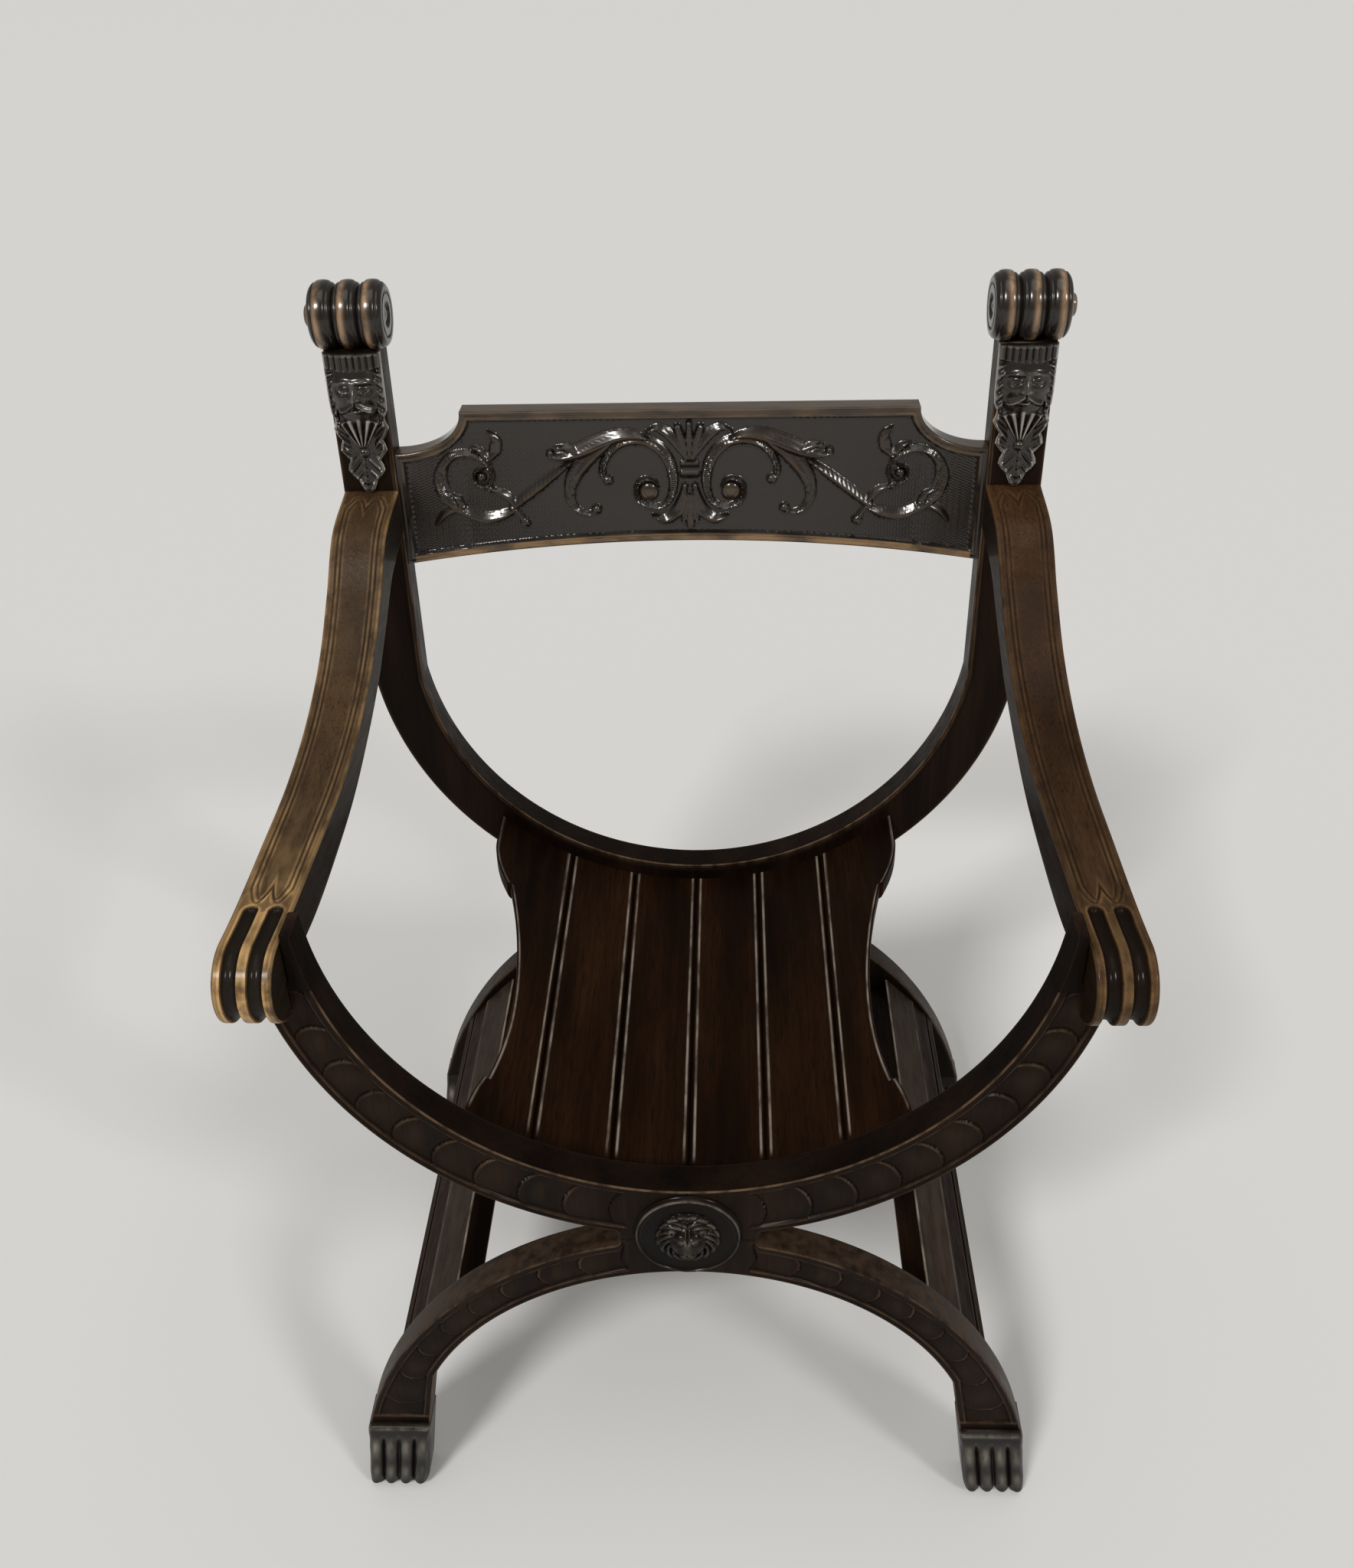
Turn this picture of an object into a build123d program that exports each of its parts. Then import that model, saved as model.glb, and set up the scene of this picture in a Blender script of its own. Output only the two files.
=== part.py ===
from build123d import *
import os
from math import cos, hypot, radians, sin, sqrt

os.makedirs("parts", exist_ok=True)

# A rigid curule armchair: two back-to-back curved frames joined by side boards,
# arms, a back rail and a slatted seat. X is across, Y runs from front to back, Z is up.
# The origin is on the floor, under the middle of the chair. Left is -X.

# ---- driving sizes, in millimetres ----------------------------------------------------
# frames
timber = 28.0                # thickness of every sawn frame member, front to back
frame_pitch = 437.0          # front face of the front frame to front face of the rear one
bowl_z = 648.0               # centre of the upper half rings
bowl_inner = 260.0
bowl_width = 45.0            # width of the ring's timber
bay_widening = 10.0          # the front ring's hollow is rounder than the rear one's
bay_rise = 16.0              # and its centre higher, so that the ring thins towards its heads
waist_gap = 3.0              # the ring and the leg's arch stop this far from the waist joint
arch_half_width = 300.0      # outer ellipse of the legs, centred on the floor
arch_hollow = 248.0          # inner round of the legs
arch_crown = 37.0            # width of the leg's timber at the top of the arch
web_half = 54.0              # half width of the solid waist
web_drop = 67.0              # how far it runs down into the legs
crotch_round = 7.0
leg_foot_z = 92.0            # where the legs stand on their paw feet
leg_shin_inner = 235.0       # inner edge of the leg at the foot
leg_shin_z = 158.0           # where the inner edge leaves the round
channel_margin = 6.5         # raised border beside the sunk channel
channel_depth = 3.0
channel_waist_gap = 50.0     # plain timber each side of the seam, under the boss
channel_sill = 9.0           # plain timber above each front foot
# rear stiles and their scrolled heads
stile_step = 3.0             # the stiles stand this far inside the ring
crest_radius = 28.5
crest_rise = 299.0           # scroll's axis over the centre of the rings
crest_overhang = 7.0         # inner end of the scroll, from the stile's inner edge
crest_length = 62.0
crest_reeds = 3
crest_reed_depth = 4.0
crest_reed_groove = 6.0      # width of the groove between two reeds
button_radius = 12.0
button_height = 7.0
button_step = 3.0            # in from the rim and down from the top of the bead
spigot_radius = 5.0
spigot_length = 12.0
# carved plaques on the stiles
plaque_width = 50.0
plaque_base = 4.0
plaque_gap = 1.0             # to the scroll above and to the arm below
plaque_pin_radius = 4.0
plaque_pin_length = 10.0
mask_height = 58.0
mask_half_width = 22.0
mask_cheek_height = 26.0     # straight part of the head's side
mask_crown_half = 13.0       # half width of the head at its top and chin
mask_relief = 13.0
mask_taper = 32.0            # degrees by which its sides lean in
beard_height = 30.0          # a fan of ribs that opens upward under the mask
beard_ribs = 5
beard_spread = 64.0          # degrees between the outer ribs
beard_rib_foot = 1.4         # half width of a rib at the hub
beard_rib_top = 3.6          # and under the mask
beard_relief = 3.6
leaf_half_width = 18.0       # drop leaf under the beard
leaf_tip_radius = 5.0
leaf_rib_half = 3.4
leaf_relief = 2.6
# back rail
rail_thickness = 22.0
rail_rise = 218.0            # top of the rail over the centre of the rings
rail_height = 120.0          # in the middle
rail_arch_rise = 21.0
rail_shoulder_width = 60.0
rail_shoulder_drop = 37.0
rail_border = 8.0
rail_ground_depth = 3.0
rail_tenon = 20.0
rail_tenon_height = 70.0
rail_tenon_thickness = 10.0
# arms
arm_roll_radius = 32.0
arm_roll_centre = 2.0        # behind the front face of the front frame
arm_roll_rise = 3.0          # over the underside of the arm
arm_seat_drop = 41.0         # the arm sits on the front frame, below the centre of the rings
arm_seat_run = 60.0          # flat underside, from the front frame's face
arm_rear_rise = 190.0        # top of the arm at the stile, over its underside in front
arm_rear_height = 40.0
arm_front_splay = 20.0       # inner edge in front, outside the ring's inner edge
arm_front_width = 42.0
arm_tenon = 16.0
arm_tenon_width = 18.0
arm_tenon_height = 14.0
arm_tenon_edge = 5.0         # stile left outside the arm's mortise
arm_flute_width = 7.0
arm_flute_depth = 4.0
arm_flute_pitch = 17.0
arm_flute_start = 100.0      # degrees round the roll, from straight ahead
arm_flute_end = -75.0
# seat
seat_drop = 17.0             # top of the seat below the inner edge of the rings
seat_thickness = 15.0
seat_staves = 6
stave_pitch = 63.0
stave_gap = 2.0
stave_bevel = 2.2
seat_waist_half = 157.0
seat_waist_run = 157.0       # waist, from the front end of the seat
seat_front_half = 178.0
seat_front_cusp = 169.0      # half width at the front cusp
seat_front_cusp_run = 64.0   # its distance from the front end
seat_rear_half = 195.0
seat_rear_cusp = 180.0
seat_rear_cusp_run = 92.0    # from the rear end
seat_rear_flat = 42.0        # straight side before the rear end
seat_cusp_step = 3.0
cleat_depth = 16.0
cleat_thickness = 12.0
cleat_half = 165.0
# side boards
board_face = 80.0
board_thickness = 25.0
board_x = 219.0              # centre of the board's section
board_drop = 139.5           # below the top of the leg's arch
board_tilt = 48.5            # its face rises towards the middle of the chair
board_crown = 1.6            # height of the ridge along the face
board_crown_edge = 44.0      # ridge, from the upper edge of the face
board_groove_width = 3.0
board_groove_depth = 1.6
board_groove_edge = 11.0
board_tenon = 14.0
board_tenon_width = 44.0
board_tenon_thickness = 11.0
mortise_gap = 1.0            # left at the bottom of every mortise
# paw feet
foot_lip = 1.4               # the foot's top stands out past the leg's outer edge
foot_inner_lip = 3.0         # and past its inner edge
foot_inner_lean = 15.0       # its sides lean outward from the top to the floor
foot_outer_lean = 11.0
foot_reach = 10.0            # the toes stand this far in front of the frame
foot_top_reach = 7.0         # and this far where they meet the leg
foot_heel = 2.0
foot_toes = 4
foot_toe_depth = 4.5
foot_toe_bevel = 4.0
foot_top_chamfer = 2.0
# boss
boss_radius = 43.5
boss_rise = 7.0              # over the waist joint
boss_thickness = 8.0
boss_rim = 7.0               # width of the raised moulding round its edge
boss_ground_depth = 4.0      # sunk inside the moulding
boss_mane_radius = 33.0
boss_mane_relief = 3.0
boss_mane_locks = 16
boss_lock_sides = 6
boss_lock_radius = 3.6
boss_lock_relief = 2.0
boss_head_radius = 24.0
boss_head_relief = 12.0
boss_brow_radius = 15.0      # flat top of the domed head
boss_muzzle_radius = 9.0
boss_muzzle_drop = 5.0
boss_muzzle_relief = 3.0
boss_spigot_radius = 9.0
boss_spigot_length = 14.0
# dowels
dowel_radius = 5.0
dowel_length = 36.0
dowel_clearance = 0.1
waist_dowel_x = 30.0
seam_dowel_drop = 26.0       # below the waist joint
seam_dowel_rise = 36.0       # above it

# ---- places worked out from them ------------------------------------------------------
bowl_outer = bowl_inner + bowl_width
bay_radius = bowl_inner + bay_widening           # hollow of the front ring
bay_z = bowl_z + bay_rise
waist_z = bowl_z - bowl_outer - waist_gap        # joint between upper and lower timbers
arch_height = waist_z - waist_gap
arch_hollow_z = arch_height - arch_crown - arch_hollow
stile_inner = bowl_inner - stile_step
crest_z = bowl_z + crest_rise
crest_inner = stile_inner - crest_overhang
rail_top_z = bowl_z + rail_rise
rail_bottom_z = rail_top_z - rail_height
arm_seat_z = bowl_z - arm_seat_drop
arm_roll_z = arm_seat_z + arm_roll_rise
arm_rear_top_z = arm_seat_z + arm_rear_rise
arm_rear_bottom_z = arm_rear_top_z - arm_rear_height
arm_front_inner = bowl_inner + arm_front_splay
arm_front_outer = arm_front_inner + arm_front_width
seat_top_radius = bowl_inner + seat_drop         # concentric with the rings
board_z = arch_height - board_drop
boss_z = waist_z + boss_rise
arm_reach = arm_roll_radius - arm_roll_centre
overall_depth = arm_reach + frame_pitch + timber / 2 + crest_radius
front_y = arm_reach - overall_depth / 2          # front face of the front frame
rear_y = front_y + frame_pitch                   # front face of the rear frame
seat_front_y = front_y + timber
seat_length = frame_pitch - timber
stile_mid_y = rear_y + timber / 2
crest_flat = sqrt(crest_radius**2 - (timber / 2) ** 2)
stile_top_z = crest_z - crest_flat
bowl_mid = (bowl_inner + bowl_outer) / 2
web_rise = bowl_z - bowl_mid - waist_z           # up into the middle of the ring
stile_mid_x = (stile_inner + bowl_outer) / 2
hole_radius = dowel_radius + dowel_clearance
rail_y = stile_mid_y - rail_thickness / 2
rail_tenon_z = (rail_top_z - rail_shoulder_drop + rail_bottom_z - rail_arch_rise) / 2
arm_tenon_x = bowl_outer - arm_tenon_edge - arm_tenon_width / 2
arm_tenon_z = (arm_rear_top_z + arm_rear_bottom_z) / 2
plaque_top_z = stile_top_z - plaque_gap
plaque_pin_z = plaque_top_z - mask_height / 2
seat_bottom_radius = seat_top_radius + seat_thickness
cleat_bottom_radius = seat_bottom_radius + cleat_thickness
leg_foot_outer = arch_half_width * sqrt(1 - (leg_foot_z / arch_height) ** 2)
foot_top_outer = leg_foot_outer + foot_lip
foot_top_inner = leg_shin_inner - foot_inner_lip
foot_bottom_outer = foot_top_outer + foot_outer_lean
foot_bottom_inner = foot_top_inner + foot_inner_lean
foot_dowel_x = (foot_top_inner + foot_top_outer) / 2
frame_head_x = sqrt(bowl_outer**2 - (bowl_z - arm_seat_z) ** 2)
arm_dowel_x = (arm_front_inner + frame_head_x) / 2
reach = 2 * bowl_outer                           # longer than any cut needs


def upright(y, x=0, z=0):
    """Plane facing the front, with its x across and its y up."""
    return Plane(origin=(x, y, z), x_dir=(1, 0, 0), z_dir=(0, -1, 0))


def across(x):
    """Plane facing +X, with its x along the depth and y up, at distance x."""
    return Plane(origin=(x, 0, 0), x_dir=(0, 1, 0), z_dir=(1, 0, 0))


def export_piece(piece, name):
    """Label a finished piece and write it out."""
    piece.part.label = name
    export_step(piece.part, f"parts/{name}.step")


def export_pair(piece, name):
    """Export a right-hand piece, and its mirror image for the left."""
    with BuildPart() as twin:
        mirror(piece.part, about=Plane.YZ)
    export_piece(piece, f"{name}_right")
    export_piece(twin, f"{name}_left")


def bore(plane, radius, depth):
    """Drill a round hole from a plane's origin against its normal, in the open part."""
    with Locations(plane):
        Cylinder(
            radius,
            depth,
            align=(Align.CENTER, Align.CENTER, Align.MAX),
            mode=Mode.SUBTRACT,
        )


# ---- outlines shared by both frames ---------------------------------------------------
def upper_outline(bay_half, hollow_radius, hollow_z):
    """Right half of an upper timber: ring, stile above it and the upper half of the web."""
    with BuildSketch() as outline:
        with Locations((0, bowl_z)):
            Circle(bowl_outer)
            Rectangle(2 * bowl_outer, stile_top_z - bowl_z, align=(Align.CENTER, Align.MIN))
        with Locations((0, waist_z)):
            Rectangle(2 * web_half, web_rise, align=(Align.CENTER, Align.MIN))
        with BuildSketch(mode=Mode.PRIVATE) as bay:
            with Locations((0, hollow_z)):
                Circle(hollow_radius)
                Rectangle(2 * hollow_radius, reach, align=(Align.CENTER, Align.MIN))
                Rectangle(2 * bay_half, 2 * reach, mode=Mode.INTERSECT)
        add(bay.sketch, mode=Mode.SUBTRACT)
        with Locations((0, waist_z)):
            Rectangle(reach, reach, align=(Align.MIN, Align.MIN), mode=Mode.INTERSECT)
        corner = outline.vertices().filter_by_position(Axis.X, web_half - 1, web_half + 1)
        fillet(corner.sort_by(Axis.Y)[1], radius=crotch_round)
    return outline.sketch


# lower timber: half of the elliptical arch, with the lower half of the web
with BuildSketch() as arch_outline:
    Ellipse(arch_half_width, arch_height)
    with Locations((0, waist_z)):
        Rectangle(2 * web_half, web_drop, align=(Align.CENTER, Align.MAX))
    with BuildSketch(mode=Mode.PRIVATE) as hollow:
        with Locations((0, arch_hollow_z)):
            Circle(arch_hollow)
        with Locations((0, leg_shin_z)):
            Rectangle(reach, reach, align=(Align.CENTER, Align.MIN), mode=Mode.INTERSECT)
        shin_half = sqrt(arch_hollow**2 - (leg_shin_z - arch_hollow_z) ** 2)
        with BuildLine():
            Polyline(
                (-shin_half, leg_shin_z),
                (-leg_shin_inner, leg_foot_z),
                (leg_shin_inner, leg_foot_z),
                (shin_half, leg_shin_z),
                close=True,
            )
        make_face()
    add(hollow.sketch, mode=Mode.SUBTRACT)
    with Locations((0, leg_foot_z)):
        Rectangle(reach, waist_z - leg_foot_z, align=(Align.MIN, Align.MIN), mode=Mode.INTERSECT)
    corner = arch_outline.vertices().filter_by_position(Axis.X, web_half - 1, web_half + 1)
    fillet(corner.sort_by(Axis.Y)[0], radius=crotch_round)

# sunk channels of the front frame, one margin inside each outline
with BuildSketch() as bowl_channel:
    with Locations((0, bowl_z)):
        Circle(bowl_outer - channel_margin)
    with Locations((0, bay_z)):
        Circle(bay_radius + channel_margin, mode=Mode.SUBTRACT)
    with Locations((channel_waist_gap, waist_z)):
        Rectangle(
            reach,
            arm_seat_z - waist_z - channel_sill,
            align=(Align.MIN, Align.MIN),
            mode=Mode.INTERSECT,
        )

with BuildSketch() as arch_channel:
    Ellipse(arch_half_width - channel_margin, arch_height - channel_margin)
    with BuildSketch(mode=Mode.PRIVATE) as channel_hollow:
        with Locations((0, arch_hollow_z)):
            Circle(arch_hollow + channel_margin)
        with Locations((0, arch_hollow_z)):
            Rectangle(
                2 * (leg_shin_inner + channel_margin),
                reach,
                mode=Mode.INTERSECT,
            )
    add(channel_hollow.sketch, mode=Mode.SUBTRACT)
    with Locations((channel_waist_gap, leg_foot_z + channel_sill)):
        Rectangle(reach, reach, align=(Align.MIN, Align.MIN), mode=Mode.INTERSECT)

# section of the side board, also used for its housings in the legs
with BuildSketch() as board_section:
    with BuildLine():
        Polyline(
            (-board_face / 2, 0),
            (board_crown_edge - board_face / 2, board_crown),
            (board_face / 2, 0),
            (board_face / 2, -board_thickness),
            (-board_face / 2, -board_thickness),
            close=True,
        )
    make_face()
    with Locations((board_face / 2 - board_groove_edge, board_crown / 2)):
        Rectangle(board_groove_width, 2 * board_groove_depth, mode=Mode.SUBTRACT)

with BuildSketch() as board_tenon_section:
    with Locations((0, -board_thickness / 2)):
        Rectangle(board_tenon_width, board_tenon_thickness)


def board_plane(y):
    """Plane of the right-hand board's section at depth y: x down the face, y out of it."""
    tilt = radians(board_tilt)
    half = board_thickness / 2
    return Plane(
        origin=(board_x + half * sin(tilt), y, board_z + half * cos(tilt)),
        x_dir=(cos(tilt), 0, -sin(tilt)),
        z_dir=(0, -1, 0),
    )


def drill_upper(y):
    """Holes for the waist and seam dowels in an upper timber, whose front face is at y."""
    middle = y + timber / 2
    waist = Plane(origin=(waist_dowel_x, middle, waist_z), z_dir=(0, 0, -1))
    seam = Plane(origin=(0, middle, waist_z + seam_dowel_rise), z_dir=(-1, 0, 0))
    for spot in (waist, seam):
        bore(spot, hole_radius, dowel_length / 2)


def drill_lower(y):
    """Holes for the waist, seam and foot dowels and the board's mortise in a leg."""
    middle = y + timber / 2
    waist = Plane(origin=(waist_dowel_x, middle, waist_z), z_dir=(0, 0, 1))
    seam = Plane(origin=(0, middle, waist_z - seam_dowel_drop), z_dir=(-1, 0, 0))
    foot = Plane(origin=(foot_dowel_x, middle, leg_foot_z), z_dir=(0, 0, -1))
    for spot in (waist, seam, foot):
        bore(spot, hole_radius, dowel_length / 2)


# ---- front frame ----------------------------------------------------------------------
boss_hole = upright(front_y, z=boss_z)
boss_hole_depth = boss_spigot_length + dowel_clearance
boss_hole_radius = boss_spigot_radius + dowel_clearance

# plan of the right-hand arm, which narrows the ring's head to a lip beside it
with BuildSketch(Plane.XY.offset(arm_seat_z)) as arm_plan:
    with BuildLine():
        Polyline(
            (arm_front_inner, front_y - arm_reach),
            (arm_front_outer, front_y - arm_reach),
            (bowl_outer, rear_y),
            (stile_inner, rear_y),
            close=True,
        )
    make_face()

with BuildPart() as front_arc:
    with BuildSketch(upright(front_y)):
        add(upper_outline(bay_radius, bay_radius, bay_z))
        with Locations((0, bowl_z)):
            Rectangle(reach, reach, align=(Align.MIN, Align.MAX), mode=Mode.INTERSECT)
    extrude(amount=-timber)
    extrude(arm_plan.sketch, amount=reach, mode=Mode.SUBTRACT)
    with BuildSketch(upright(front_y)):
        add(bowl_channel.sketch)
    extrude(amount=-channel_depth, mode=Mode.SUBTRACT)
    drill_upper(front_y)
    arm_hole = Plane(origin=(arm_dowel_x, front_y + timber / 2, arm_seat_z), z_dir=(0, 0, 1))
    bore(arm_hole, hole_radius, dowel_length / 2)
    bore(boss_hole, boss_hole_radius, boss_hole_depth)
export_pair(front_arc, "front_arc")

with BuildPart() as front_leg:
    with BuildSketch(upright(front_y)):
        add(arch_outline.sketch)
    extrude(amount=-timber)
    with BuildSketch(upright(front_y)):
        add(arch_channel.sketch)
    extrude(amount=-channel_depth, mode=Mode.SUBTRACT)
    drill_lower(front_y)
    bore(boss_hole, boss_hole_radius, boss_hole_depth)
    with BuildSketch(board_plane(seat_front_y)):
        add(board_tenon_section.sketch)
    extrude(amount=board_tenon, mode=Mode.SUBTRACT)
export_pair(front_leg, "front_leg")

# ---- rear frame -----------------------------------------------------------------------
stile_head = Plane(origin=(stile_mid_x, stile_mid_y, stile_top_z), z_dir=(0, 0, 1))
plaque_pin = upright(rear_y, stile_mid_x, plaque_pin_z)

with BuildPart() as rear_stile:
    with BuildSketch(upright(rear_y)):
        add(upper_outline(stile_inner, bowl_inner, bowl_z))
    extrude(amount=-timber)
    drill_upper(rear_y)
    # mortise for the rail, from the inner edge
    with BuildSketch(across(stile_inner)):
        with Locations((stile_mid_y, rail_tenon_z)):
            Rectangle(rail_tenon_thickness, rail_tenon_height)
    extrude(amount=rail_tenon, mode=Mode.SUBTRACT)
    # mortise for the arm, from the front
    with BuildSketch(upright(rear_y)):
        with Locations((arm_tenon_x, arm_tenon_z)):
            Rectangle(arm_tenon_width, arm_tenon_height)
    extrude(amount=-arm_tenon, mode=Mode.SUBTRACT)
    bore(stile_head, hole_radius, dowel_length / 2)
    bore(plaque_pin, plaque_pin_radius + dowel_clearance, plaque_pin_length + dowel_clearance)
export_pair(rear_stile, "rear_stile")

with BuildPart() as rear_leg:
    with BuildSketch(upright(rear_y)):
        add(arch_outline.sketch)
    extrude(amount=-timber)
    drill_lower(rear_y)
    with BuildSketch(board_plane(rear_y)):
        add(board_tenon_section.sketch)
    extrude(amount=-board_tenon, mode=Mode.SUBTRACT)
export_pair(rear_leg, "rear_leg")


# ---- paw feet -------------------------------------------------------------------------
def toe_outline(inner, outer, front, back):
    """Plan of a foot: straight heel, and a blunt toe between each pair of creases."""
    pitch = (outer - inner) / foot_toes
    with BuildSketch() as plan:
        with BuildLine():
            Polyline((inner, front), (inner, back), (outer, back), (outer, front))
            for toe in range(foot_toes):
                start = inner + toe * pitch
                Polyline(
                    (start, front),
                    (start + foot_toe_bevel, front - foot_toe_depth),
                    (start + pitch - foot_toe_bevel, front - foot_toe_depth),
                    (start + pitch, front),
                )
        make_face()
    return plan.sketch


def make_foot(name, y):
    """Paw foot under the right-hand leg whose front face is at y, and its twin."""
    back = y + timber + foot_heel
    foot_front = y - foot_reach + foot_toe_depth
    top_front = y - foot_top_reach + foot_toe_depth
    trim = foot_top_chamfer
    with BuildPart() as foot:
        with BuildSketch():
            add(toe_outline(foot_bottom_inner, foot_bottom_outer, foot_front, back))
        with BuildSketch(Plane.XY.offset(leg_foot_z - trim)):
            add(toe_outline(foot_top_inner, foot_top_outer, top_front, back))
        with BuildSketch(Plane.XY.offset(leg_foot_z)):
            add(toe_outline(foot_top_inner + trim, foot_top_outer - trim, top_front + trim, back - trim))
        loft(ruled=True)
        dowel_hole = Plane(origin=(foot_dowel_x, y + timber / 2, leg_foot_z), z_dir=(0, 0, 1))
        bore(dowel_hole, hole_radius, dowel_length / 2)
    export_pair(foot, name)


make_foot("front_foot", front_y)
make_foot("rear_foot", rear_y)

# ---- side boards ----------------------------------------------------------------------
with BuildPart() as side_board:
    with BuildSketch(board_plane(seat_front_y)):
        add(board_section.sketch)
    extrude(amount=-seat_length)
    with BuildSketch(board_plane(seat_front_y)):
        add(board_tenon_section.sketch)
    extrude(amount=board_tenon - mortise_gap)
    with BuildSketch(board_plane(rear_y)):
        add(board_tenon_section.sketch)
    extrude(amount=mortise_gap - board_tenon)
export_pair(side_board, "side_board")

# ---- crest scrolls and their buttons --------------------------------------------------
reed_width = crest_length / crest_reeds
crest_axis = Axis((0, stile_mid_y, crest_z), (1, 0, 0))
crest_end = Plane(origin=(crest_inner + crest_length, stile_mid_y, crest_z), z_dir=(1, 0, 0))

with BuildPart() as crest_scroll:
    with BuildSketch(upright(stile_mid_y, z=crest_z)):
        valley = crest_radius - crest_reed_depth
        with BuildLine():
            for reed in range(crest_reeds):
                start = crest_inner + reed * reed_width
                Polyline(
                    (start, valley),
                    (start + crest_reed_groove / 2, valley),
                    (start + crest_reed_groove / 2, crest_radius),
                    (start + reed_width - crest_reed_groove / 2, crest_radius),
                    (start + reed_width - crest_reed_groove / 2, valley),
                    (start + reed_width, valley),
                )
            Polyline(
                (crest_inner, valley),
                (crest_inner, 0),
                (crest_inner + crest_length, 0),
                (crest_inner + crest_length, valley),
            )
        make_face()
    revolve(axis=crest_axis)
    # flat seat on the head of the stile
    split(bisect_by=Plane.XY.offset(stile_top_z), keep=Keep.TOP)
    bore(stile_head.rotated((180, 0, 0)), hole_radius, dowel_length / 2)
    bore(crest_end, spigot_radius + dowel_clearance, spigot_length + dowel_clearance)
export_pair(crest_scroll, "crest_scroll")

with BuildPart() as scroll_button:
    with BuildSketch(upright(stile_mid_y, crest_inner + crest_length, crest_z)):
        with BuildLine():
            Polyline(
                (button_height, 0),
                (-spigot_length, 0),
                (-spigot_length, spigot_radius),
                (0, spigot_radius),
                (0, button_radius),
                (button_height - button_step, button_radius),
                (button_height - button_step, button_radius - button_step),
                (button_height, button_radius - button_step),
                (button_height, 0),
            )
        make_face()
    revolve(axis=crest_axis)
export_pair(scroll_button, "scroll_button")

# ---- back rail ------------------------------------------------------------------------
def rail_outline(inset):
    """Front of the rail, drawn in by inset: flat top, hollow shoulders, arched foot."""
    half = stile_inner - inset
    top = rail_top_z - inset
    foot = rail_bottom_z + inset
    with BuildSketch() as outline:
        with BuildLine():
            arch = ThreePointArc((-half, foot - rail_arch_rise), (0, foot), (half, foot - rail_arch_rise))
            Polyline(arch @ 1, (half, top), (-half, top), arch @ 0)
        make_face()
        with Locations((stile_inner, rail_top_z), (-stile_inner, rail_top_z)):
            Ellipse(rail_shoulder_width + inset, rail_shoulder_drop + inset, mode=Mode.SUBTRACT)
    return outline.sketch


with BuildPart() as back_rail:
    with BuildSketch(upright(rail_y)):
        add(rail_outline(0))
    extrude(amount=-rail_thickness)
    with BuildSketch(upright(rail_y)):
        add(rail_outline(rail_border))
    extrude(amount=-rail_ground_depth, mode=Mode.SUBTRACT)
    with BuildSketch(across(0)):
        with Locations((stile_mid_y, rail_tenon_z)):
            Rectangle(rail_tenon_thickness, rail_tenon_height)
    extrude(amount=stile_inner + rail_tenon - mortise_gap, both=True)
export_piece(back_rail, "back_rail")

# ---- arms -----------------------------------------------------------------------------
# The sweep of an arm from the roll back to the stile, as shares of its run and of its rise.
arm_top_sweep = ((0.25, 0.055), (0.41, 0.11), (0.56, 0.226), (0.69, 0.41), (0.79, 0.645), (0.88, 0.89))
arm_under_sweep = ((0.32, 0.065), (0.46, 0.16), (0.57, 0.285), (0.69, 0.46), (0.8, 0.69), (0.88, 0.87))
arm_top_start = (front_y + arm_roll_centre, arm_roll_z + arm_roll_radius)
arm_top_end = (rear_y, arm_rear_top_z)
arm_under_start = (front_y + arm_seat_run, arm_seat_z)
arm_under_end = (rear_y, arm_rear_bottom_z)


def sweep_points(sweep, start, end):
    """Points of an arm's edge: each share of the frame pitch, and of the rise to the stile."""
    rise = end[1] - start[1]
    middle = [(front_y + run * frame_pitch, start[1] + share * rise) for run, share in sweep]
    return [start] + middle + [end]


def roll_point(turn, radius=arm_roll_radius):
    """Depth and height at an angle round the roll, from straight ahead (0) up to its top (90)."""
    ahead = front_y + arm_roll_centre - radius * cos(radians(turn))
    return ahead, arm_roll_z + radius * sin(radians(turn))


roll_back_drop = sqrt(arm_roll_radius**2 - arm_roll_centre**2)
arm_roll_axis = Axis((0, front_y + arm_roll_centre, arm_roll_z), (1, 0, 0))
arm_mid_x = (arm_front_inner + arm_front_outer) / 2

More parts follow.
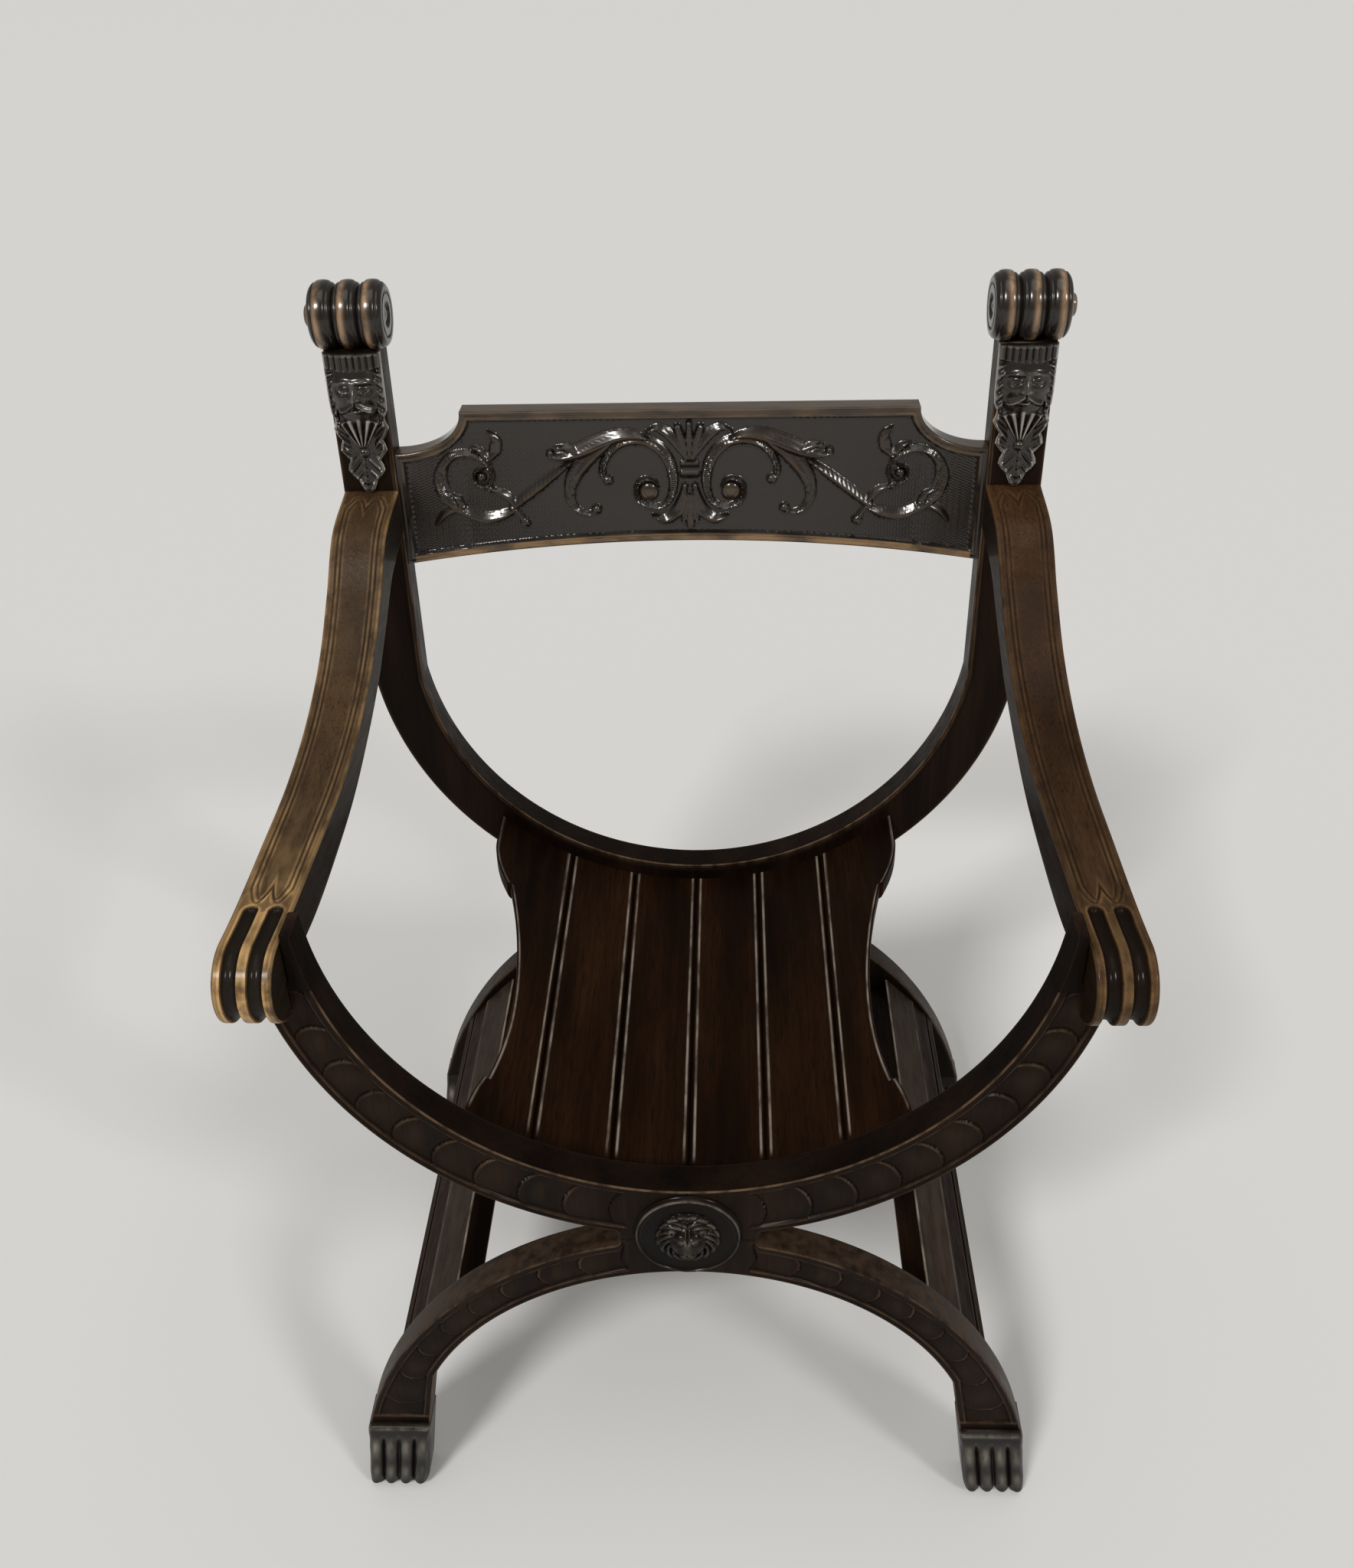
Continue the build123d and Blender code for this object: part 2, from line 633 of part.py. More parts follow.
with BuildPart() as arm:
    with BuildSketch(across(0)):
        with BuildLine():
            Spline(*sweep_points(arm_top_sweep, arm_top_start, arm_top_end), tangents=((1, 0), (1, 0.1)))
            Line(arm_top_end, arm_under_end)
            under = sweep_points(arm_under_sweep, arm_under_start, arm_under_end)
            Spline(*under, tangents=((1, 0), (1, 0.2)))
            Polyline(
                arm_under_start,
                (front_y, arm_seat_z),
                (front_y, arm_roll_z - roll_back_drop),
            )
            ThreePointArc((front_y, arm_roll_z - roll_back_drop), roll_point(0), arm_top_start)
        make_face()
    extrude(amount=arm_front_outer)
    extrude(arm_plan.sketch, amount=reach, both=True, mode=Mode.INTERSECT)
    # two hollow flutes over the roll
    for side in (-1, 1):
        flute_x = arm_mid_x + side * arm_flute_pitch / 2
        start = roll_point(arm_flute_start)
        turn = radians(arm_flute_start)
        with BuildSketch(Plane((flute_x, *start), x_dir=(1, 0, 0), z_dir=(0, -sin(turn), -cos(turn)))):
            Rectangle(arm_flute_width, 2 * arm_flute_depth)
        revolve(
            axis=arm_roll_axis,
            revolution_arc=arm_flute_start - arm_flute_end,
            mode=Mode.SUBTRACT,
        )
    with BuildSketch(upright(rear_y)):
        with Locations((arm_tenon_x, arm_tenon_z)):
            Rectangle(arm_tenon_width, arm_tenon_height)
    extrude(amount=mortise_gap - arm_tenon)
    bore(arm_hole.rotated((180, 0, 0)), hole_radius, dowel_length / 2)
export_pair(arm, "arm")

# ---- seat -----------------------------------------------------------------------------
with BuildSketch() as seat_plan:
    front_cusp_y = seat_front_y + seat_front_cusp_run
    rear_cusp_y = rear_y - seat_rear_cusp_run
    waist = (seat_waist_half, seat_front_y + seat_waist_run)
    rear_flat = (seat_rear_half, rear_y - seat_rear_flat)
    inner_front = (seat_front_cusp - seat_cusp_step, front_cusp_y)
    inner_rear = (seat_rear_cusp - seat_cusp_step, rear_cusp_y)
    with BuildLine():
        Polyline(inner_front, (seat_front_cusp, front_cusp_y))
        TangentArc((seat_front_half, seat_front_y), (seat_front_cusp, front_cusp_y), tangent=(0, 1))
        Polyline(
            (seat_front_half, seat_front_y),
            (0, seat_front_y),
            (0, rear_y),
            (seat_rear_half, rear_y),
            rear_flat,
        )
        TangentArc(rear_flat, (seat_rear_cusp, rear_cusp_y), tangent=(0, -1))
        Polyline((seat_rear_cusp, rear_cusp_y), inner_rear)
        TangentArc(waist, inner_rear, tangent=(0, 1))
        TangentArc(waist, inner_front, tangent=(0, -1))
    make_face()
    mirror(about=Plane.YZ)


def hoop(outer_radius, inner_radius, left, right):
    """Part of the seat's hollow curve that lies between two upright planes."""
    with BuildSketch() as curve:
        with Locations((0, bowl_z)):
            Circle(outer_radius)
            Circle(inner_radius, mode=Mode.SUBTRACT)
            with Locations(((left + right) / 2, 0)):
                Rectangle(right - left, reach, align=(Align.CENTER, Align.MAX), mode=Mode.INTERSECT)
    return curve.sketch


for number in range(seat_staves):
    left = (number - seat_staves / 2) * stave_pitch + stave_gap / 2
    right = left + stave_pitch - stave_gap
    inner_edges = [left, right]
    if number == 0:
        left = -seat_bottom_radius
        inner_edges.remove(inner_edges[0])
    if number == seat_staves - 1:
        right = seat_bottom_radius
        inner_edges.remove(inner_edges[-1])
    with BuildPart() as stave:
        with BuildSketch(upright(seat_front_y)):
            add(hoop(seat_bottom_radius, seat_top_radius, left, right))
        extrude(amount=-seat_length)
        top_edges = stave.edges().filter_by(
            lambda edge: hypot(edge.center().X, edge.center().Z - bowl_z) < seat_top_radius + 1
            and abs(edge.length - seat_length) < 1
            and any(abs(edge.center().X - x) < 1 for x in inner_edges)
        )
        chamfer(top_edges, length=stave_bevel)
        with BuildSketch():
            add(seat_plan.sketch)
        extrude(amount=bowl_z, mode=Mode.INTERSECT)
    export_piece(stave, f"seat_stave_{number + 1}")

# cleats behind the front frame and before the rear one carry the ends of the boards
for end, cleat_y in (("front", seat_front_y), ("rear", rear_y - cleat_depth)):
    with BuildPart() as cleat:
        with BuildSketch(upright(cleat_y)):
            add(hoop(cleat_bottom_radius, seat_bottom_radius, -cleat_half, cleat_half))
        extrude(amount=-cleat_depth)
    export_piece(cleat, f"seat_cleat_{end}")

# ---- lion boss ------------------------------------------------------------------------
ground_y = boss_thickness - boss_ground_depth
ground_radius = boss_radius - boss_rim

with BuildPart() as lion_boss:
    # distance from the boss's axis across, and distance in front of the frame up
    with BuildSketch(upright(front_y, z=boss_z).rotated((90, 0, 0))):
        with BuildLine():
            Polyline(
                (0, -boss_spigot_length),
                (boss_spigot_radius, -boss_spigot_length),
                (boss_spigot_radius, 0),
                (boss_radius, 0),
                (boss_radius, boss_thickness),
                (ground_radius, boss_thickness),
                (ground_radius, ground_y),
            )
            head_base = ground_y + boss_mane_relief
            head_top = head_base + boss_head_relief
            Polyline(
                (ground_radius, ground_y),
                (boss_mane_radius, ground_y),
                (boss_mane_radius, head_base),
                (boss_head_radius, head_base),
                (boss_brow_radius, head_top),
                (0, head_top),
                (0, -boss_spigot_length),
            )
        make_face()
    revolve(axis=Axis((0, front_y, boss_z), (0, 1, 0)))
    # locks of the mane, and the muzzle
    with BuildSketch(upright(front_y - ground_y, z=boss_z)):
        with PolarLocations((boss_mane_radius + boss_head_radius) / 2, boss_mane_locks):
            RegularPolygon(boss_lock_radius, boss_lock_sides)
    extrude(amount=boss_mane_relief + boss_lock_relief)
    with BuildSketch(upright(front_y - head_top, z=boss_z - boss_muzzle_drop)):
        Circle(boss_muzzle_radius)
    extrude(amount=boss_muzzle_relief)
export_piece(lion_boss, "lion_boss")

# ---- mask plaques ---------------------------------------------------------------------
mask_base_z = plaque_top_z - mask_height
beard_hub_z = mask_base_z - beard_height
leaf_tip_z = arm_rear_top_z + plaque_gap

with BuildPart() as mask_plaque:
    # the mask: a head with sides that lean in
    with BuildSketch(upright(rear_y - plaque_base / 2, stile_mid_x, plaque_pin_z)):
        with BuildLine():
            Polyline(
                (mask_crown_half, mask_height / 2),
                (mask_half_width, mask_cheek_height / 2),
                (mask_half_width, -mask_cheek_height / 2),
                (mask_crown_half, -mask_height / 2),
                (-mask_crown_half, -mask_height / 2),
                (-mask_half_width, -mask_cheek_height / 2),
                (-mask_half_width, mask_cheek_height / 2),
                (-mask_crown_half, mask_height / 2),
                close=True,
            )
        make_face()
    extrude(amount=mask_relief + plaque_base / 2, taper=mask_taper)
    # its ground, with a wavy leaf that ends in a round tip
    with BuildSketch(upright(rear_y, stile_mid_x)):
        with BuildLine():
            shoulder = plaque_width / 2
            Polyline(
                (0, leaf_tip_z),
                (0, plaque_top_z),
                (shoulder, plaque_top_z),
                (shoulder, mask_base_z),
            )
            Spline(
                (shoulder, mask_base_z),
                (leaf_half_width, beard_hub_z),
                (leaf_tip_radius, leaf_tip_z + leaf_tip_radius),
            )
            RadiusArc(
                (leaf_tip_radius, leaf_tip_z + leaf_tip_radius),
                (0, leaf_tip_z),
                leaf_tip_radius,
            )
        make_face()
        mirror(about=Plane.YZ)
    extrude(amount=plaque_base)
    # ribs of the beard, and the rib of the leaf
    with BuildSketch(upright(rear_y - plaque_base, stile_mid_x, beard_hub_z)):
        for rib in range(beard_ribs):
            turn = (rib / (beard_ribs - 1) - 0.5) * beard_spread
            with BuildSketch(mode=Mode.PRIVATE) as blade:
                with BuildLine():
                    Polyline(
                        (-beard_rib_foot, 0),
                        (beard_rib_foot, 0),
                        (beard_rib_top, beard_height / cos(radians(turn))),
                        (-beard_rib_top, beard_height / cos(radians(turn))),
                        close=True,
                    )
                make_face()
            add(blade.sketch, rotation=-turn)
    extrude(amount=beard_relief)
    leaf_foot = leaf_tip_z + 2 * leaf_tip_radius
    with BuildSketch(upright(rear_y - plaque_base, stile_mid_x)):
        with BuildLine():
            Polyline(
                (-beard_rib_foot, leaf_foot),
                (beard_rib_foot, leaf_foot),
                (leaf_rib_half, beard_hub_z),
                (-leaf_rib_half, beard_hub_z),
                close=True,
            )
        make_face()
    extrude(amount=leaf_relief)
    with BuildSketch(plaque_pin):
        Circle(plaque_pin_radius)
    extrude(amount=-plaque_pin_length)
export_pair(mask_plaque, "mask_plaque")


# ---- dowels ---------------------------------------------------------------------------
def make_dowels(name, planes):
    """Loose dowels, each centred on the origin of a plane and square to it."""
    with BuildPart() as dowels:
        with Locations(*planes):
            Cylinder(dowel_radius, dowel_length - 2 * dowel_clearance)
    export_piece(dowels, name)


frame_mids = (front_y + timber / 2, stile_mid_y)
hands = (-1, 1)
arm_dowel_y = front_y + timber / 2
seam_zs = (waist_z - seam_dowel_drop, waist_z + seam_dowel_rise)
make_dowels(
    "waist_dowels",
    [Plane((hand * waist_dowel_x, y, waist_z)) for hand in hands for y in frame_mids],
)
make_dowels("seam_dowels", [Plane((0, y, z), z_dir=(1, 0, 0)) for y in frame_mids for z in seam_zs])
make_dowels(
    "foot_dowels",
    [Plane((hand * foot_dowel_x, y, leg_foot_z)) for hand in hands for y in frame_mids],
)
make_dowels("arm_dowels", [Plane((hand * arm_dowel_x, arm_dowel_y, arm_seat_z)) for hand in hands])
make_dowels(
    "crest_dowels",
    [Plane((hand * stile_mid_x, stile_mid_y, stile_top_z)) for hand in hands],
)
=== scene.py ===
"""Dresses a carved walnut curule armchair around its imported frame.

Lengths are millimetres in the chair's own frame: X across, Y from front to back, Z up, with the
origin on the floor under the middle of the chair. They become metres when a mesh is made.
"""
import logging
import math
from collections.abc import Callable, Sequence
from dataclasses import dataclass, field, replace
from enum import Enum

import bpy
import numpy as np
from mathutils import Matrix, Vector
from numpy.typing import NDArray


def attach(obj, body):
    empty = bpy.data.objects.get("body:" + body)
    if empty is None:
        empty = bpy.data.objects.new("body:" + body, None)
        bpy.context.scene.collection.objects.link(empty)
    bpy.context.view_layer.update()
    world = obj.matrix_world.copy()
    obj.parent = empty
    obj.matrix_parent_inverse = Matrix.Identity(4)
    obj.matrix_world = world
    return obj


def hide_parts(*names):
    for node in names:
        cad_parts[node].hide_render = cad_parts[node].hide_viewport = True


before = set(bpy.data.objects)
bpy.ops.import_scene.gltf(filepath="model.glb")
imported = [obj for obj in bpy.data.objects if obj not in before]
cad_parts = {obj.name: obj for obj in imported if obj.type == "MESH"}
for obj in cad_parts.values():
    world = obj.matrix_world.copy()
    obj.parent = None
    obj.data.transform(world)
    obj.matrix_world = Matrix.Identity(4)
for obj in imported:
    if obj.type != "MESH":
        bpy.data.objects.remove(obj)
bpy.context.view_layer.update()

LOG = logging.getLogger("chair")
MM = 0.001                       # metres in a millimetre
BODY = "root"

Array = NDArray[np.float64]
Colour = tuple[float, float, float]
Faces = list[tuple[int, ...]]
Socket = bpy.types.NodeSocket
Relief = Callable[["Face"], tuple[Array, Array, Array]]


# ---- small tools ----------------------------------------------------------------------
def smooth(low: float, high: float, value: Array) -> Array:
    """Soft step: 0 below low, 1 above high, and 3t^2 - 2t^3 between them.

    Args:
        low: Value at which the step starts.
        high: Value at which it ends.
        value: Values to be stepped.

    Returns:
        The step, from 0 to 1, one for each value.
    """
    share = np.clip((value - low) / (high - low), 0.0, 1.0)
    return share * share * (3.0 - 2.0 * share)


def bump(value: Array, centre: float, width: float) -> Array:
    """Bell curve of height 1: e to the minus ((value - centre) / width) squared."""
    return np.exp(-(((value - centre) / width) ** 2))


def unit(vectors: Array) -> Array:
    """Vectors of length 1 in the given directions."""
    length = np.linalg.norm(vectors, axis=-1, keepdims=True)
    return vectors / np.maximum(length, 1e-9)


def half_ball(*ratios: Array) -> Array:
    """Half ball of height 1: the root of 1 less each ratio squared, and 0 outside it.

    Args:
        ratios: Distances from its middle along one or two axes, as shares of its radius.

    Returns:
        Its height at each point.
    """
    rest = 1.0
    for ratio in ratios:
        rest = rest - ratio**2
    return np.sqrt(np.clip(rest, 0.0, 1.0))


def along(points: Array) -> Array:
    """Distance travelled along a line of points, from its first point."""
    steps = np.linalg.norm(np.diff(points, axis=0), axis=1)
    return np.concatenate([[0.0], np.cumsum(steps)])


def respaced(points: Array, count: int) -> Array:
    """A line of points made again with equal steps.

    Args:
        points: The line's points, in order.
        count: Number of points wanted.

    Returns:
        The new points, from the same start to the same end.
    """
    travel = along(points)
    wanted = np.linspace(0.0, travel[-1], count)
    return np.stack([np.interp(wanted, travel, column) for column in points.T], axis=1)


def spline(points: Sequence[Sequence[float]], count: int) -> Array:
    """Smooth curve through points, by the Catmull-Rom rule on the distance between them.

    Args:
        points: Points that the curve passes through.
        count: Number of points wanted on the curve.

    Returns:
        Points on the curve at equal steps.
    """
    knots = np.array(points, float)
    travel = along(knots)
    slopes = np.gradient(knots, travel, axis=0)
    fine = np.linspace(0.0, travel[-1], 8 * count)
    left = np.clip(np.searchsorted(travel, fine, side="right") - 1, 0, len(knots) - 2)
    span = (travel[left + 1] - travel[left])[:, None]
    t = (fine[:, None] - travel[left][:, None]) / span
    curve = (
        (2 * t**3 - 3 * t**2 + 1) * knots[left]
        + (t**3 - 2 * t**2 + t) * span * slopes[left]
        + (3 * t**2 - 2 * t**3) * knots[left + 1]
        + (t**3 - t**2) * span * slopes[left + 1]
    )
    return respaced(curve, count)


def arc(centre: tuple[float, float], radius: float, start: float, end: float, count: int) -> Array:
    """Points on a circle; angles in degrees from the first axis towards the second."""
    turn = np.radians(np.linspace(start, end, count))
    return np.stack([centre[0] + radius * np.cos(turn), centre[1] + radius * np.sin(turn)], axis=1)


def joined(*lines: Array) -> Array:
    """One line from several, with points that repeat left out."""
    line = np.concatenate(lines)
    keep = np.concatenate([[True], np.linalg.norm(np.diff(line, axis=0), axis=1) > 1e-6])
    return line[keep]


def spots(x: float | Array, y: float | Array, z: float | Array) -> Array:
    """Points from their three coordinates, any of which may be one number for all."""
    return np.stack(np.broadcast_arrays(x, y, z), axis=-1)


def at_depth(line: Array, y: float) -> Array:
    """Points (x, z) set upright at one depth y."""
    return spots(line[:, 0], y, line[:, 1])


def nearest(points: Array, line: Array) -> tuple[Array, Array]:
    """Distance from each point to a line of points.

    Args:
        points: Any number of points, in two dimensions.
        line: Points along the line.

    Returns:
        The distance to the nearest point of the line, and that point's place in the line.
    """
    best = np.full(len(points), np.inf)
    index = np.zeros(len(points), int)
    for place, spot in enumerate(line):
        distance = (points[:, 0] - spot[0]) ** 2 + (points[:, 1] - spot[1]) ** 2
        closer = distance < best
        best[closer] = distance[closer]
        index[closer] = place
    return np.sqrt(best), index


# ---- finishes -------------------------------------------------------------------------
class Grain(Enum):
    """Direction in which the wood's fibres run."""

    ACROSS = 0
    DEEP = 1
    UP = 2


PORE_COLOUR: Colour = (0.004, 0.003, 0.002)
# Colour of dirt and of painted shade.
DIRT_AND_SHADE_COLOUR: Colour = (0.0035, 0.0025, 0.002)
WARM_TINT = (1.0, 0.86, 0.72, 1.0)
COAT_ROUGHNESS = 0.17
FIBRE_LIFT = 0.0004              # metres by which a fibre stands up


@dataclass(frozen=True)
class Walnut:
    """Old waxed walnut: dark stain, fine pores, light-worn edges, dirt in the hollows, painted highlights
    and shade.
    """

    name: str
    slot: str
    dark: Colour
    body: Colour
    # Colour of wear, and on some finishes of painted highlights.
    worn_and_highlit: Colour
    grain: Grain = Grain.UP
    rough: float = 0.42
    gloss: float = 0.3           # specular level; 0.5 is plain varnish
    coat: float = 0.35
    wear: float = 1.0
    fibre: float = 0.035         # how much a fibre is stretched
    figure: float = 26.0         # broad bands to the metre
    pores: float = 900.0         # pores to the metre
    texture: float = 0.35        # how much the fibres stand up

    def material(self) -> bpy.types.Material:
        """Build the node tree.

        Noise drawn out along the grain mixes the dark colour with the body's. Fibres and pores
        darken it, wear and painted highlights lighten it in patches, and dirt and painted shade
        cover it last.

        Returns:
            The material, which reads object coordinates and two attributes: wear with painted
            highlights, and dirt with painted shade.
        """
        made = bpy.data.materials.new(self.name)
        made.use_nodes = True
        tree = made.node_tree
        shader = tree.nodes["Principled BSDF"]
        shader.inputs["Coat Weight"].default_value = self.coat
        shader.inputs["Coat Roughness"].default_value = COAT_ROUGHNESS
        shader.inputs["Specular IOR Level"].default_value = self.gloss
        shader.inputs["Specular Tint"].default_value = WARM_TINT

        def node(kind: str, **values: object) -> bpy.types.Node:
            """Add a node and set its properties."""
            new = tree.nodes.new(kind)
            for key, value in values.items():
                setattr(new, key, value)
            return new

        def link(source: Socket, target: Socket) -> None:
            """Join two sockets."""
            tree.links.new(source, target)

        def noise(scale: float, detail: float, stretch: float) -> Socket:
            """Noise on object coordinates, drawn out along the grain."""
            mapping = node("ShaderNodeMapping")
            size = [1.0, 1.0, 1.0]
            size[self.grain.value] = stretch
            mapping.inputs["Scale"].default_value = size
            link(place.outputs["Object"], mapping.inputs["Vector"])
            texture = node("ShaderNodeTexNoise")
            texture.inputs["Scale"].default_value = scale
            texture.inputs["Detail"].default_value = detail
            link(mapping.outputs["Vector"], texture.inputs["Vector"])
            return texture.outputs["Fac"]

        def ramp(source: Socket, low: float, high: float) -> Socket:
            """Spread the values between low and high over 0 to 1."""
            spread = node("ShaderNodeMapRange", clamp=True)
            spread.inputs["From Min"].default_value = low
            spread.inputs["From Max"].default_value = high
            link(source, spread.inputs["Value"])
            return spread.outputs["Result"]

        def mixed(share: Socket, first: Colour | Socket, second: Colour | Socket) -> Socket:
            """Mix two colours by a share."""
            mix = node("ShaderNodeMix", data_type="RGBA")
            link(share, mix.inputs[0])
            for socket, colour in ((mix.inputs[6], first), (mix.inputs[7], second)):
                if isinstance(colour, tuple):
                    socket.default_value = (*colour, 1.0)
                else:
                    link(colour, socket)
            return mix.outputs[2]

        def maths(operation: str, first: Socket, second: Socket | float) -> Socket:
            """One sum on two values."""
            step = node("ShaderNodeMath", operation=operation, use_clamp=True)
            link(first, step.inputs[0])
            if isinstance(second, float):
                step.inputs[1].default_value = second
            else:
                link(second, step.inputs[1])
            return step.outputs[0]

        place = node("ShaderNodeTexCoord")
        figure = ramp(noise(self.figure, 3.0, self.fibre * 4), 0.32, 0.68)
        fibres = ramp(noise(self.pores * 0.35, 2.0, self.fibre), 0.3, 0.7)
        pores = ramp(noise(self.pores, 1.0, self.fibre * 1.4), 0.56, 0.66)
        rubs = ramp(noise(110.0, 5.0, 0.3), 0.36, 0.64)
        # The wear attribute also carries painted highlights, and the dirt attribute carries painted shade.
        wear = node("ShaderNodeAttribute", attribute_name="wear").outputs["Fac"]
        dirt = node("ShaderNodeAttribute", attribute_name="dirt").outputs["Fac"]

        base = mixed(figure, self.dark, self.body)
        base = mixed(maths("MULTIPLY", fibres, 0.45), base, self.dark)
        base = mixed(maths("MULTIPLY", pores, 0.6), base, PORE_COLOUR)
        rubbed = maths("MULTIPLY", wear, maths("ADD", maths("MULTIPLY", rubs, 0.85), 0.25))
        rubbed = maths("MULTIPLY", rubbed, self.wear)
        base = mixed(rubbed, base, self.worn_and_highlit)
        base = mixed(maths("MULTIPLY", dirt, 0.85), base, DIRT_AND_SHADE_COLOUR)
        link(base, shader.inputs["Base Color"])

        dull = maths("ADD", maths("MULTIPLY", rubs, 0.14), self.rough - 0.07)
        link(maths("ADD", dull, maths("MULTIPLY", dirt, 0.3)), shader.inputs["Roughness"])

        relief = node("ShaderNodeBump")
        relief.inputs["Strength"].default_value = self.texture
        relief.inputs["Distance"].default_value = FIBRE_LIFT
        height = maths("SUBTRACT", fibres, maths("MULTIPLY", pores, 0.7))
        link(height, relief.inputs["Height"])
        link(relief.outputs["Normal"], shader.inputs["Normal"])
        return made


# ---- carved pieces --------------------------------------------------------------------
@dataclass
class Face:
    """The carved face of a bar: each value is one grid of stations by points across."""

    travel: Array                # distance along the bar
    across: Array                # distance from the inner edge
    width: Array                 # width of the face at that station
    x: Array
    y: Array
    z: Array

    def edge(self) -> Array:
        """Distance to the nearer long edge."""
        return np.minimum(self.across, self.width - self.across)


def plain(face: Face) -> tuple[Array, Array, Array]:
    """No carving: depth, wear and dirt are all 0."""
    flat = np.zeros_like(face.x)
    return flat, flat, flat


@dataclass
class Piece:
    """Points and faces of one piece, with each point's wear and painted highlight, and its dirt and painted
    shade.
    """

    name: str
    finish: Walnut
    points: Array = field(default_factory=lambda: np.zeros((0, 3)))
    wear: Array = field(default_factory=lambda: np.zeros(0))
    dirt: Array = field(default_factory=lambda: np.zeros(0))
    faces: Faces = field(default_factory=list)

    def add(self, points: Array, wear: Array, dirt: Array, faces: Faces) -> None:
        """Add a closed shell, turned so that its faces point outwards.

        Args:
            points: Its points, one row each.
            wear: How worn each point is, with painted highlight, from 0 to 1.
            dirt: How dirty each point is, with painted shade, from 0 to 1.
            faces: Corner numbers of each face.
        """
        if shell_volume(points, faces) < 0:
            faces = [face[::-1] for face in faces]
        start = len(self.points)
        self.points = np.concatenate([self.points, points])
        self.wear = np.concatenate([self.wear, np.clip(wear, 0, 1)])
        self.dirt = np.concatenate([self.dirt, np.clip(dirt, 0, 1)])
        self.faces += [tuple(corner + start for corner in face) for face in faces]

    def mirrored(self, name: str) -> "Piece":
        """The same piece on the other side of the chair's middle."""
        faces = [face[::-1] for face in self.faces]
        return Piece(name, self.finish, self.points * (-1, 1, 1), self.wear, self.dirt, faces)

    def make(self, material: bpy.types.Material, *nodes: str, sharp: float = 38.0) -> None:
        """Put the piece into the scene, riding on the chair's body.

        Args:
            material: Its finish.
            nodes: The frame's nodes that it stands for.
            sharp: Faces that meet at more degrees than this keep a sharp edge.
        """
        mesh = bpy.data.meshes.new(self.name)
        mesh.from_pydata((self.points * MM).tolist(), [], self.faces)
        # These attributes carry wear with painted highlights, and dirt with painted shade.
        for title, values in (("wear", self.wear), ("dirt", self.dirt)):
            layer = mesh.attributes.new(title, "FLOAT", "POINT")
            layer.data.foreach_set("value", values.astype(np.float32))
        mesh.shade_smooth()
        mesh.set_sharp_from_angle(angle=math.radians(sharp))
        mesh.materials.append(material)
        mesh.validate()
        body = bpy.data.objects.new(self.name, mesh)
        bpy.context.scene.collection.objects.link(body)
        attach(body, BODY)
        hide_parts(*nodes)
        LOG.info("%s: %d faces", self.name, len(self.faces))

    def make_pair(
        self,
        right: bpy.types.Material,
        left: bpy.types.Material | None = None,
        sharp: float = 38.0,
    ) -> None:
        """Put a right-hand piece and its mirror image into the scene.

        Such a piece's name is its node's name with one word more.

        Args:
            right: Its finish.
            left: The mirror image's finish, where it differs.
            sharp: Faces that meet at more degrees than this keep a sharp edge.
        """
        mirror = self.mirrored(self.name.replace("_right_", "_left_"))
        for piece, material in ((self, right), (mirror, left or right)):
            piece.make(material, piece.name.rpartition("_")[0], sharp=sharp)


def shell_volume(points: Array, faces: Faces) -> float:
    """Volume inside a closed shell: a sixth of the sum of corner triple products.

    Args:
        points: Its points, one row each.
        faces: Corner numbers of each face.

    Returns:
        The volume, below 0 where the faces point inwards.
    """
    quads = np.array([face for face in faces if len(face) == 4], int)
    total = 0.0
    for corners in (quads[:, [0, 1, 2]], quads[:, [0, 2, 3]]):
        a, b, c = (points[corners[:, column]] for column in range(3))
        total += float(np.einsum("ij,ij->", a, np.cross(b, c)))
    for face in faces:
        if len(face) != 4:
            ring = points[list(face)]
            a, b, c = ring[0][None], ring[1:-1], ring[2:]
            total += float(np.einsum("ij,ij->", np.broadcast_to(a, b.shape), np.cross(b, c)))
    return total / 6.0


def grid_faces(rows: int, columns: int) -> Faces:
    """Four-cornered faces between the points of a grid whose rows are closed loops.

    Args:
        rows: Number of loops.
        columns: Number of points in a loop.

    Returns:
        The corner numbers of each face.
    """
    row = np.arange(rows - 1)[:, None] * columns
    column = np.arange(columns)[None, :]
    after = (column + 1) % columns
    corners = [row + column, row + after, row + columns + after, row + columns + column]
    return [tuple(face) for face in np.stack(corners, axis=-1).reshape(-1, 4).tolist()]


def tube_faces(rows: int, columns: int) -> Faces:
    """Faces between loops of points, with a flat face over the first and the last loop.

    Args:
        rows: Number of loops.
        columns: Number of points in a loop.

    Returns:
        The corner numbers of each face.
    """
    first = tuple(range(columns - 1, -1, -1))
    last = tuple(range((rows - 1) * columns, rows * columns))
    return [*grid_faces(rows, columns), first, last]


def ball_faces(rows: int, steps: int) -> Faces:
    """Faces between loops of points and two poles, whose points follow those of the loops.

    Args:
        rows: Number of loops.
        steps: Number of points in a loop.

    Returns:
        The corner numbers of each face.
    """
    count = rows * steps
    last = count - steps
    sides = [(a, (a + 1) % steps) for a in range(steps)]
    start = [(b, a, count) for a, b in sides]
    end = [(a + last, b + last, count + 1) for a, b in sides]
    return [*grid_faces(rows, steps), *start, *end]


